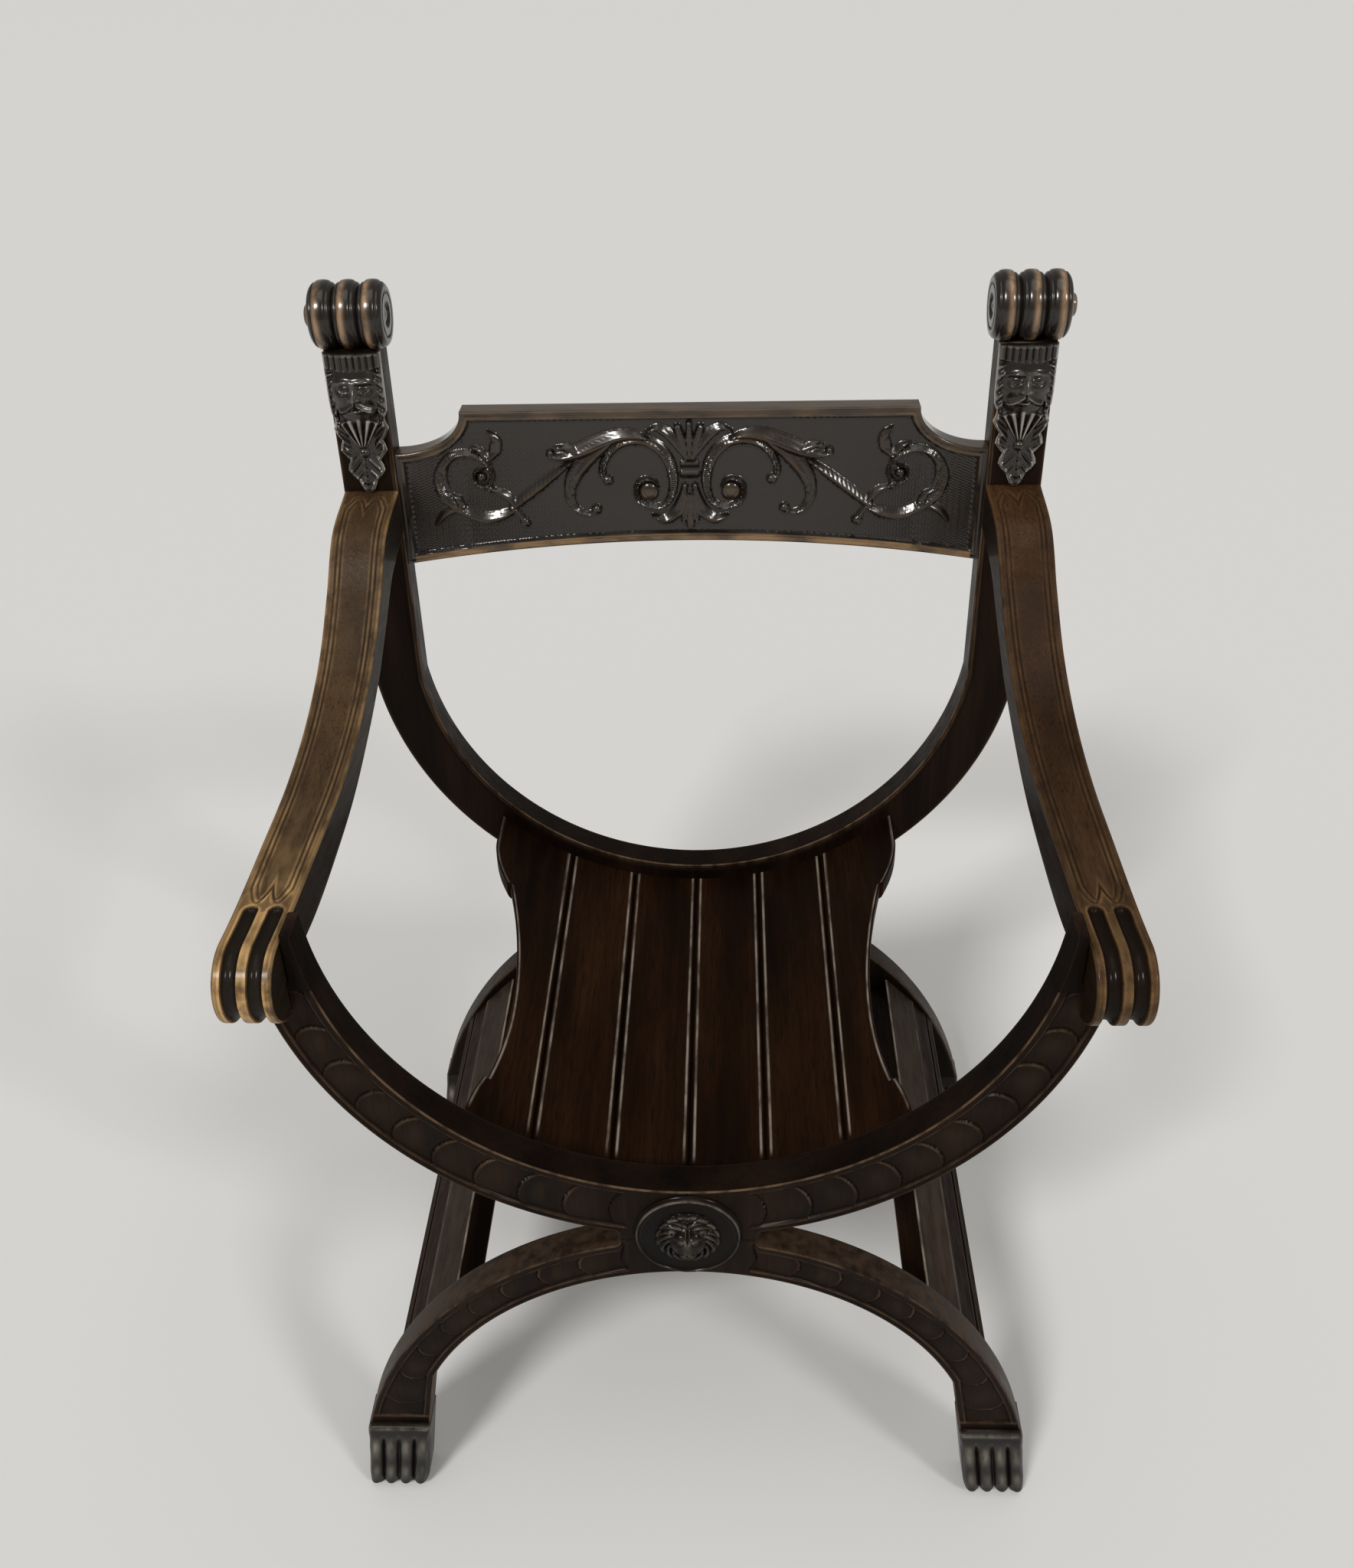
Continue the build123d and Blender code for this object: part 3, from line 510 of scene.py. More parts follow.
@dataclass
class Bar:
    """A four-sided bar: four lines of points, its carved face first, with rounded arrises."""

    face_in: Array
    face_out: Array
    back_out: Array
    back_in: Array
    radius: float | Array = 1.6
    round_steps: int = 4

    def section(self, across: int, deep: int) -> tuple[Array, Array, Array, Array, Array]:
        """Points of the loop round the bar, as shares of its sides and turns at its corners.

        Args:
            across: Number of points over the carved face.
            deep: Number of points down each side.

        Returns:
            For each point its side (0 to 3), its share of that side, its turn in degrees past the
            side's own direction, whether it is on the carved face, and whether it is on a corner.
        """
        side, share, turn = [], [], []
        corner = np.linspace(0.0, 90.0, self.round_steps + 2)[1:-1]
        for number, count in enumerate((across, deep, max(4, across // 6), deep)):
            side += [np.full(count + self.round_steps, number)]
            share += [np.linspace(0.0, 1.0, count), np.ones(self.round_steps)]
            turn += [np.zeros(count), corner]
        side, share, turn = (np.concatenate(part) for part in (side, share, turn))
        return side, share, turn, (side == 0) & (turn == 0), turn > 0

    def loops(
        self,
        across: int,
        deep: int,
        relief: Relief,
        rubbed: float | Array,
        soil_and_shade: float | Array,
        faded: float,
    ) -> tuple[Array, Array, Array]:
        """Work out the bar's surface.

        A point of a side is a straight mix of that side's two corners, each drawn in by the
        radius; a point of a corner is the corner's centre plus the radius times its turn.

        Args:
            across: Number of points over the carved face.
            deep: Number of points down each side.
            relief: Depth, wear with painted highlight, and dirt with painted shade on the carved face.
            rubbed: How worn the arrises are; on the frame's inner arrises this is partly a painted
                highlight.
            soil_and_shade: How dark the sides and the back are painted, for dirt and for painted shade,
                for the whole bar or station by station.
            faded: How worn the sides and the back are.

        Returns:
            The points, as stations by points round the bar, with their wear and painted highlight,
            and their dirt and painted shade.
        """
        corners = [self.face_in, self.face_out, self.back_out, self.back_in]
        ahead = [unit(corners[(number + 1) % 4] - corners[number]) for number in range(4)]
        side, share, turn, on_face, on_corner = self.section(across, deep)
        radius = np.broadcast_to(np.reshape(self.radius, (-1, 1)), (len(self.face_in), 1))
        grid = np.zeros((len(self.face_in), len(side), 3))
        for number in range(4):
            after = (number + 1) % 4
            chosen = side == number
            low = (corners[number] + ahead[number] * radius)[:, None]
            high = (corners[after] - ahead[number] * radius)[:, None]
            flat = low + (high - low) * share[chosen][None, :, None]
            angle = np.radians(turn[chosen])[None, :, None]
            past = (1 - np.cos(angle)) * ahead[after][:, None]
            swing = np.sin(angle) * ahead[number][:, None] + past
            grid[:, chosen] = flat + swing * radius[:, None]
        travel = along((self.face_in + self.face_out) / 2)
        width = np.linalg.norm(self.face_out - self.face_in, axis=1)
        surface = grid[:, on_face]
        shape = surface.shape[:2]
        face = Face(
            np.broadcast_to(travel[:, None], shape),
            radius + share[on_face][None, :] * (width[:, None] - 2 * radius),
            np.broadcast_to(width[:, None], shape),
            *np.moveaxis(surface, -1, 0),
        )
        depth, wear, dirt = relief(face)
        inward = unit(ahead[1] - ahead[3])[:, None]
        grid[:, on_face] = surface + inward * depth[..., None]
        all_wear_and_highlight = np.full(grid.shape[:2], faded)
        all_dirt_and_shade = np.zeros(grid.shape[:2])
        # Arris wear includes painted highlight on the frame's inner arrises. The sides' darkening includes
        # painted shade on the ring and on the seat's tongues.
        all_wear_and_highlight[:, on_corner] = np.broadcast_to(rubbed, (len(grid), 4))[:, side[on_corner]]
        all_dirt_and_shade[:, ~on_face & ~on_corner] = np.reshape(soil_and_shade, (-1, 1))
        all_wear_and_highlight[:, on_face] = wear
        all_dirt_and_shade[:, on_face] = dirt
        return grid, all_wear_and_highlight, all_dirt_and_shade

    def onto(
        self,
        piece: Piece,
        across: int = 12,
        deep: int = 6,
        relief: Relief = plain,
        warp: Callable[[Array], Array] | None = None,
        rubbed: float | Array = 1.0,
        soil_and_shade: float | Array = 0.0,
        faded: float = 0.0,
    ) -> Piece:
        """Add the bar to a piece, with flat ends.

        Args:
            piece: The piece to add to.
            across: Number of points over the carved face.
            deep: Number of points down each side.
            relief: Depth, wear with painted highlight, and dirt with painted shade on the carved face.
            warp: Bends the finished points, if the bar is made straight first.
            rubbed: How worn the arrises are, partly a painted highlight on the frame's inner arrises:
                one value, or one row for each station, from the carved face's outer corner round to its
                inner one.
            soil_and_shade: How dark the sides and the back are painted, for dirt and for painted shade,
                for the whole bar or station by station.
            faded: How worn the sides and the back are.

        Returns:
            The same piece.
        """
        grid, wear, dirt = self.loops(across, deep, relief, rubbed, soil_and_shade, faded)
        points = grid.reshape(-1, 3)
        if warp:
            points = warp(points)
        piece.add(points, wear.ravel(), dirt.ravel(), tube_faces(*grid.shape[:2]))
        return piece


def turned(
    piece: Piece, profile: Array, centre: Sequence[float], steps: int, wear: Array
) -> Piece:
    """Add a turned shape: a profile of (distance along X, radius) swung once round.

    Args:
        piece: The piece to add to.
        profile: Points of the profile, whose first and last radius is 0.
        centre: A point on the axis.
        steps: Number of steps round.
        wear: How worn each point of the profile is.

    Returns:
        The same piece.
    """
    angle = np.linspace(0.0, 2 * math.pi, steps, endpoint=False)
    place, radius = profile[1:-1, :1], profile[1:-1, 1:]
    loops = spots(place, radius * np.cos(angle), radius * np.sin(angle))
    poles = spots(profile[[0, -1], 0], 0.0, 0.0)
    points = np.concatenate([loops.reshape(-1, 3), poles]) + centre
    all_wear_and_highlight = np.concatenate([np.repeat(wear[1:-1], steps), wear[[0, -1]]])
    piece.add(points, all_wear_and_highlight, np.zeros(len(points)), ball_faces(len(place), steps))
    return piece


# ---- the chair's shared sizes -----------------------------------------------------------
@dataclass(frozen=True)
class Layout:
    """Sizes that several pieces share, in millimetres."""

    timber: float = 28.0
    front_y: float = -224.75
    rear_y: float = 212.25
    ring_z: float = 648.0
    ring_inner: float = 260.0
    ring_outer: float = 305.0
    bay_radius: float = 270.0
    bay_z: float = 664.0
    waist_z: float = 340.0
    web_half: float = 54.0
    crotch: float = 7.0
    arch_half: float = 300.0
    arch_height: float = 337.0
    hollow: float = 248.0
    hollow_z: float = 52.0
    shin_z: float = 158.0
    shin_inner: float = 235.0
    foot_z: float = 92.0
    stile_inner: float = 257.0
    stile_top: float = 922.18
    head_z: float = 607.0
    lip_x: float = 277.6
    margin: float = 6.5
    scale_pitch: float = 37.0

    @property
    def seat_front(self) -> float:
        """Depth of the back of the front frame."""
        return self.front_y + self.timber

    @property
    def stile_mid(self) -> float:
        """Depth of the middle of the rear frame."""
        return self.rear_y + self.timber / 2


LAYOUT = Layout()


def matched(parts: Sequence[tuple[Array, Array]], step: float) -> tuple[Array, Array]:
    """Two edges of a member, cut into the same number of stations part by part.

    Args:
        parts: Matching stretches of the inner and the outer edge.
        step: Longest step between stations.

    Returns:
        The inner and the outer edge, point against point.
    """
    inner, outer = [], []
    for first, second in parts:
        count = int(math.ceil(max(along(first)[-1], along(second)[-1]) / step)) + 1
        inner.append(respaced(first, count))
        outer.append(respaced(second, count))
    first, second = (
        np.concatenate([part[:-1] for part in edge[:-1]] + [edge[-1]]) for edge in (inner, outer)
    )
    return first, second


def timber_bar(inner: Array, outer: Array, y: float, thickness: float, radius: float) -> Bar:
    """An upright sawn member whose carved face looks forward.

    Args:
        inner: Its inner edge, as (x, z).
        outer: Its outer edge, point against point.
        y: Depth of its front face.
        thickness: From front to back.
        radius: Of its arrises.

    Returns:
        The bar.
    """
    back = y + thickness
    places = ((inner, y), (outer, y), (outer, back), (inner, back))
    return Bar(*(at_depth(line, depth) for line, depth in places), radius=radius)


# ---- frames -------------------------------------------------------------------------------
@dataclass
class FrameTimbers:
    """The sawn members of both frames: half rings, arched legs and rear posts."""

    finish: Walnut
    step: float = 1.25
    radius: float = 1.5
    scale_relief: float = 2.0
    scale_bulge: float = 13.0
    scale_wear_and_highlight: float = 0.42
    scale_fade: tuple[float, float] = (58.0, 95.0)     # where the scales' wear and painted highlight fade in, away from the boss
    channel_depth: float = 3.0
    channel_start: tuple[float, float] = (48.0, 51.0)
    lay: Layout = LAYOUT

    def waist(self, hollow: float, hollow_z: float) -> tuple[Array, Array]:
        """Edges of a half ring where it joins its other half.

        Args:
            hollow: Radius of the inner edge.
            hollow_z: Height of its centre.

        Returns:
            The inner and the outer edge.
        """
        lay = self.lay
        crotch_x = lay.web_half + lay.crotch
        crotch_z = lay.ring_z - math.sqrt((lay.ring_outer + lay.crotch) ** 2 - crotch_x**2)
        reach = math.degrees(math.atan2(crotch_x, lay.ring_z - crotch_z))
        web = joined(
            np.array([[0.0, lay.waist_z], [lay.web_half, lay.waist_z]]),
            arc((crotch_x, crotch_z), lay.crotch, 180.0, 90.0 + reach, 12),
        )
        return arc((0.0, hollow_z), hollow, -90.0, reach - 90.0, 60), web

    def round_outer(self, web: Array, top: float) -> Array:
        """Outer edge of a half ring from its waist up to a height.

        Args:
            web: Outer edge of the waist.
            top: The height.

        Returns:
            Points (x, z) on the edge.
        """
        lay = self.lay
        start = -math.degrees(math.acos(web[-1, 0] / lay.ring_outer))
        end = -math.degrees(math.asin((lay.ring_z - top) / lay.ring_outer))
        return arc((0.0, lay.ring_z), lay.ring_outer, start, end, 400)

    def ring_parts(self) -> list[tuple[Array, Array]]:
        """Front half ring as matching inner and outer edges: waist, round and lip by the arm."""
        lay = self.lay
        waist = self.waist(lay.bay_radius, lay.bay_z)
        outer = self.round_outer(waist[1], lay.head_z)
        start = -math.degrees(math.acos(waist[0][-1, 0] / lay.bay_radius))
        inner = arc((0.0, lay.bay_z), lay.bay_radius, start, -3.4, 600)
        low = int(np.searchsorted(inner[:, 1], lay.head_z - 1.0))
        high = int(np.searchsorted(inner[:, 1], lay.head_z + 0.2))
        lip = np.array([[lay.lip_x, lay.head_z], [lay.lip_x, lay.ring_z]])
        return [
            waist,
            (inner[: low + 1], outer),
            (inner[low : high + 1], np.array([outer[-1], lip[0]])),
            (inner[high:], lip),
        ]

    def leg_parts(self) -> list[tuple[Array, Array]]:
        """Waist, arch and shin of a leg, as matching inner and outer edges.

        The crotch is a small circle that touches the web's side and the leg's oval. Its centre lies
        on the oval's normal, so the place where it touches is found by a few repeats.
        """
        lay = self.lay
        touch = lay.web_half
        for _ in range(8):
            height = lay.arch_height * math.sqrt(1 - (touch / lay.arch_half) ** 2)
            normal = unit(np.array([touch / lay.arch_half**2, height / lay.arch_height**2]))
            touch = lay.web_half + lay.crotch * (1 - normal[0])
        centre = (lay.web_half + lay.crotch, height + lay.crotch * normal[1])
        lean = math.degrees(math.atan2(normal[1], normal[0]))
        web = joined(
            np.array([[0.0, lay.waist_z], [lay.web_half, lay.waist_z]]),
            arc(centre, lay.crotch, 180.0, 180.0 + lean, 12),
        )
        meet = math.degrees(math.acos(touch / lay.arch_half))
        foot = math.degrees(math.asin(lay.foot_z / lay.arch_height))
        turn = np.radians(np.linspace(meet, foot, 500))
        oval = np.stack([lay.arch_half * np.cos(turn), lay.arch_height * np.sin(turn)], axis=1)
        crotch_turn = math.degrees(math.atan2(height - lay.hollow_z, touch))
        shin = math.degrees(math.asin((lay.shin_z - lay.hollow_z) / lay.hollow))
        hollow = (0.0, lay.hollow_z)
        split = int(np.argmin(np.abs(oval[:, 1] - (lay.shin_z + 14.0))))
        round_inner = arc(hollow, lay.hollow, crotch_turn, shin, 400)
        shin_inner = np.array([round_inner[-1], [lay.shin_inner, lay.foot_z]])
        return [
            (arc(hollow, lay.hollow, 90.0, crotch_turn, 60), web),
            (round_inner, oval[: split + 1]),
            (shin_inner, oval[split:]),
        ]

    def scales(self, travel: Array, side: Array, start: float) -> tuple[Array, Array, Array]:
        """Overlapping round-ended scales along a channel, with their free ends ahead.

        The free end of a scale lies at travel = k * pitch + bulge * sqrt(1 - 0.94 * side^2). From
        the end of the scale before it, a scale rises evenly to its own free end and then drops.

        Args:
            travel: Distance along the channel.
            side: Place across the channel, from -1 to 1.
            start: Shift of the first scale.

        Returns:
            Height; wear with a painted highlight along each free end, brighter on the lit side;
            and darkening in the dip just past each free end.
        """
        bulge = self.scale_bulge * np.sqrt(np.clip(1.0 - 0.94 * side**2, 0.0, 1.0))
        phase = (travel - start - bulge) / self.lay.scale_pitch
        part = phase - np.floor(phase)
        rise = smooth(0.0, 0.05, part) * (0.35 + 0.65 * part**1.2)
        height = rise * self.scale_relief * (1.0 - 0.2 * side**2)
        # Painted highlight: each free end is lighter, more so on the side towards the light.
        lit = 0.25 + 0.75 * smooth(-0.7, 0.5, side)
        wear = lit * smooth(0.93, 0.975, part) + 0.16 * bump(part, 0.55, 0.3) * (1 - side**2)
        # Darker in the dip just past each free end.
        dirt = 1.0 - smooth(0.01, 0.07, part)
        return height, wear, dirt * 0.9

    def channel(self, edge: Array, inside: Array) -> tuple[Array, Array, Array, Array]:
        """Raised border of a carved face, with a cut line, around its sunk channel.

        Args:
            edge: Distance to the nearer edge of the member.
            inside: 1 where the channel runs and 0 past its ends.

        Returns:
            Share that lies in the channel, and depth, wear with a painted highlight line, and dirt
            of the border.
        """
        margin = self.lay.margin
        sunk = smooth(margin - 0.6, margin + 0.9, edge) * inside
        line = bump(edge, margin - 2.3, 0.55) * inside
        # The light line at the channel's edge is partly wear and partly a painted highlight.
        wear = 0.4 * bump(edge, margin - 0.6, 0.6) * inside
        dirt = 0.8 * bump(edge, margin + 1.1, 0.8) * inside
        return sunk, 0.5 * line, wear, dirt

    def ring_relief(self, face: Face) -> tuple[Array, Array, Array]:
        """Scales on the front half ring, with their free ends towards the arm.

        Args:
            face: The carved face.

        Returns:
            Depth below the face, wear with painted highlight, and dirt with painted shade under the arm.
        """
        lay = self.lay
        from_inner = np.hypot(face.x, face.z - lay.bay_z) - lay.bay_radius
        from_outer = lay.ring_outer - np.hypot(face.x, face.z - lay.ring_z)
        turn = np.arctan2(face.x, lay.ring_z - face.z)
        middle = (lay.ring_inner + lay.ring_outer) / 2
        half = (from_inner + from_outer) / 2 - lay.margin
        below_head = smooth(lay.head_z - 8.0, lay.head_z - 10.0, face.z)
        inside = smooth(*self.channel_start, face.x) * below_head
        sunk, depth, wear, dirt = self.channel(np.minimum(from_inner, from_outer), inside)
        side = np.clip((from_outer - from_inner) / 2 / np.maximum(half, 1.0), -1.0, 1.0)
        height, scale_wear_and_highlight, scale_dip_dark = self.scales(middle * turn, side, 12.0)
        seam = bump(face.x, 0.0, 0.7)
        # Painted shade: the ring's face darkens towards its lip under the arm.
        shade = 0.9 * smooth(lay.head_z - 16.0, lay.head_z - 6.0, face.z)
        depth = depth + sunk * (self.channel_depth - height) + 0.5 * seam
        wear = wear + self.scale_wear_and_highlight * sunk * (scale_wear_and_highlight * smooth(*self.scale_fade, face.x))
        return depth, wear, dirt + sunk * scale_dip_dark + (seam + shade)

    def leg_relief(self, face: Face) -> tuple[Array, Array, Array]:
        """Scales on the front leg, with their free ends towards the foot.

        Args:
            face: The carved face.

        Returns:
            Depth below the face, wear with a painted highlight on the sill, and dirt.
        """
        lay = self.lay
        above_foot = smooth(lay.foot_z + 9.0, lay.foot_z + 10.5, face.z)
        inside = smooth(*self.channel_start, face.x) * above_foot
        sunk, depth, wear, dirt = self.channel(face.edge(), inside)
        half = face.width / 2 - lay.margin
        side = (face.across - face.width / 2) / half
        height, scale_wear_and_highlight, scale_dip_dark = self.scales(face.travel, np.clip(side, -1, 1), 6.0)
        depth = depth + sunk * (self.channel_depth - height)
        wear = wear + self.scale_wear_and_highlight * sunk * (scale_wear_and_highlight * smooth(*self.scale_fade, face.x))
        # Painted highlight: a light line along the sill's top edge over the foot.
        sill_highlight = bump(face.z, lay.foot_z + 9.6, 1.2) * (1 - sunk)
        return depth, wear + 0.4 * sill_highlight, dirt + sunk * scale_dip_dark

    def rear_relief(self, face: Face) -> tuple[Array, Array, Array]:
        """A bead with a quirk beside it along the inner edge of a rear timber.

        Args:
            face: The carved face.

        Returns:
            Depth below the face, wear and dirt.
        """
        lay = self.lay
        quirk = bump(face.across, 5.2, 0.7)
        depth = 0.9 * quirk
        wear = 0.35 * bump(face.across, 3.2, 1.2) + 0.1 * bump(face.width - face.across, 1.5, 1.2)
        foot = smooth(lay.foot_z + 2.0, lay.foot_z, face.z)
        return depth, wear, 0.7 * quirk + 0.3 * foot

    def build(self, wood: bpy.types.Material) -> None:
        """Make both frames.

        Args:
            wood: Their finish.
        """
        lay = self.lay
        ring = matched(self.ring_parts(), self.step)
        leg = matched(self.leg_parts(), self.step)
        jobs = (
            ("front_arc", ring, lay.front_y, self.ring_relief, 48, 0.0),
            ("front_leg", leg, lay.front_y, self.leg_relief, 44, 0.28),
            ("rear_leg", leg, lay.rear_y, self.rear_relief, 26, 0.12),
            ("rear_stile", self.stile_edges(), lay.rear_y, self.rear_relief, 26, 0.0),
        )
        for name, edges, y, relief, across, faded in jobs:
            bar = timber_bar(*edges, y, lay.timber, self.radius)
            # Painted shade: the front ring's sides darken towards the lip under the arm.
            lip = smooth(lay.head_z - 24.0, lay.head_z - 6.0, bar.face_in[:, 2])
            wear = {"rubbed": self.worn_and_lit_corners(bar), "faded": faded}
            shade = 0.9 * lip * (name == "front_arc")
            piece = Piece(f"{name}_right_wood", self.finish)
            bar.onto(piece, across, 8, relief, soil_and_shade=shade, **wear).make_pair(wood)

    def worn_and_lit_corners(self, bar: Bar) -> Array:
        """Wear of a timber's four arrises: most in front inside, where it is also a painted highlight, and
        none against its neighbour.

        Args:
            bar: The timber.

        Returns:
            One row for each station, from its front outer corner round to its front inner one.
        """
        inner, outer = bar.face_in, bar.face_out
        free = np.abs(outer[:, 2] - self.lay.waist_z) > 0.1
        open_inner = (inner[:, 1] > 0) | (inner[:, 2] < self.lay.head_z - 8.0)
        open_outer = (outer[:, 1] > 0) | (outer[:, 2] < self.lay.head_z - 8.0)
        back = np.full(len(inner), 0.15)
        return np.stack([0.4 * (free & open_outer), back * free, back, 0.7 * open_inner], axis=1)

    def stile_edges(self) -> tuple[Array, Array]:
        """Inner and outer edge of a rear half ring with its post."""
        lay = self.lay
        waist = self.waist(lay.ring_inner, lay.ring_z)
        centre = (0.0, lay.ring_z)
        start = -math.degrees(math.acos(waist[1][-1, 0] / lay.ring_outer))
        knee = -math.degrees(math.acos(lay.stile_inner / lay.ring_inner))
        inner_round = arc(centre, lay.ring_inner, start, knee, 400)
        outer_round = arc(centre, lay.ring_outer, start, knee, 400)
        outer_post = joined(
            arc(centre, lay.ring_outer, knee, 0.0, 20), np.array([[lay.ring_outer, lay.stile_top]])
        )
        inner_post = np.array([inner_round[-1], [lay.stile_inner, lay.stile_top]])
        waist = (arc(centre, lay.ring_inner, -90.0, start, 60), waist[1])
        parts = [waist, (inner_round, outer_round), (inner_post, outer_post)]
        return matched(parts, self.step * 1.6)


# ---- feet ---------------------------------------------------------------------------------
@dataclass
class PawFeet:
    """Four paw feet: a smooth ankle over four toes with claws."""

    finish: Walnut
    top: tuple[float, float] = (234.4, 290.0)
    bottom: tuple[float, float] = (247.0, 301.0)
    reach: float = 10.0
    heel: float = 2.0
    toes: int = 4
    lay: Layout = LAYOUT

    def shape(self, name: str, y: float, ledge: float) -> Piece:
        """One foot under the right-hand leg.

        At each height the foot's plan is a loop. A toe's ridge is a half circle over its width,
        and its front is drawn back by the crease depth times 1 - ridge^1.2, not at the ankle.

        Args:
            name: Name of the piece.
            y: Depth of the leg's front face.
            ledge: Share of the reach that the foot's upper edge keeps.

        Returns:
            The piece.
        """
        rows, front_count, side_count = 74, 90, 14
        z = np.linspace(0.0, self.lay.foot_z, rows)[:, None]
        rise = z / self.lay.foot_z
        inner = self.bottom[0] + (self.top[0] - self.bottom[0]) * rise
        outer = self.bottom[1] + (self.top[1] - self.bottom[1]) * rise
        inner = inner + 2.0 * smooth(6.0, 0.0, z) + 2.0 * smooth(88.0, 92.0, z) ** 2
        outer = outer - 2.0 * smooth(6.0, 0.0, z) - 2.0 * smooth(88.0, 92.0, z) ** 2
        held = ledge + (1.0 - ledge) * smooth(84.0, 40.0, z)
        u = np.linspace(0.0, 1.0, front_count)[None, :]
        local = u * self.toes - np.floor(np.minimum(u * self.toes, self.toes - 1e-9))
        ridge = half_ball(2 * local - 1)
        toes_on = smooth(83.0, 62.0, z)
        knuckle = bump(z, 60.0, 12.0) + 0.55 * bump(z, 24.0, 10.0)
        crease = (5.6 + 3.4 * smooth(24.0, 4.0, z)) * (1.0 - ridge**1.2) * toes_on
        under = 7.0 * smooth(14.0, 0.0, z) ** 2
        band = 1.2 * (1.0 - toes_on)
        front = y - self.reach * (0.72 + 0.28 * (1 - rise)) * held + crease + band + under
        front = front - 2.0 * (knuckle - 1.0) * toes_on + 2.2 * smooth(88.0, 92.0, z) ** 2
        corners = np.clip(1.0 - u / 0.06, 0, 1) ** 2 + np.clip(1.0 - (1 - u) / 0.06, 0, 1) ** 2
        front = front + 3.4 * corners
        back = y + self.lay.timber + self.heel - 2.0 * smooth(88.0, 92.0, z) ** 2
        side = np.linspace(0.0, 1.0, side_count + 2)[None, 1:-1]
        x = np.concatenate(
            [
                inner + (outer - inner) * u,
                np.broadcast_to(outer, (rows, side_count)),
                outer + (inner - outer) * np.linspace(0, 1, 12)[None, :],
                np.broadcast_to(inner, (rows, side_count)),
            ],
            axis=1,
        )
        depth = np.concatenate(
            [
                front,
                front[:, -1:] + (back - front[:, -1:]) * side,
                np.broadcast_to(back, (rows, 12)),
                back + (front[:, :1] - back) * side,
            ],
            axis=1,
        )
        wear = np.zeros_like(x)
        dirt = np.zeros_like(x)
        # Painted highlights: the toe ridges are lighter about the knuckles, and a light line runs along the
        # front ledge's top edge.
        high = bump(z, 66.0, 12.0) + 0.5 * bump(z, 28.0, 8.0)
        wear[:, :front_count] = 0.9 * ridge**6 * toes_on * high + 0.5 * ledge * bump(z, 89.6, 1.4)
        # Darker in the creases between the toes and towards the bottom.
        dirt[:, :front_count] = np.clip(2.2 * (1 - ridge**0.7), 0, 1) * toes_on + smooth(18.0, 4.0, z)
        points = spots(x, depth, z).reshape(-1, 3)
        piece = Piece(name, self.finish)
        piece.add(points, wear.ravel(), dirt.ravel(), tube_faces(*x.shape))
        return piece

    def build(self, wood: bpy.types.Material) -> None:
        """Make the four feet."""
        for end, y, ledge in (("front", self.lay.front_y, 1.0), ("rear", self.lay.rear_y, 0.0)):
            self.shape(f"{end}_foot_right_paw", y, ledge).make_pair(wood, sharp=60)


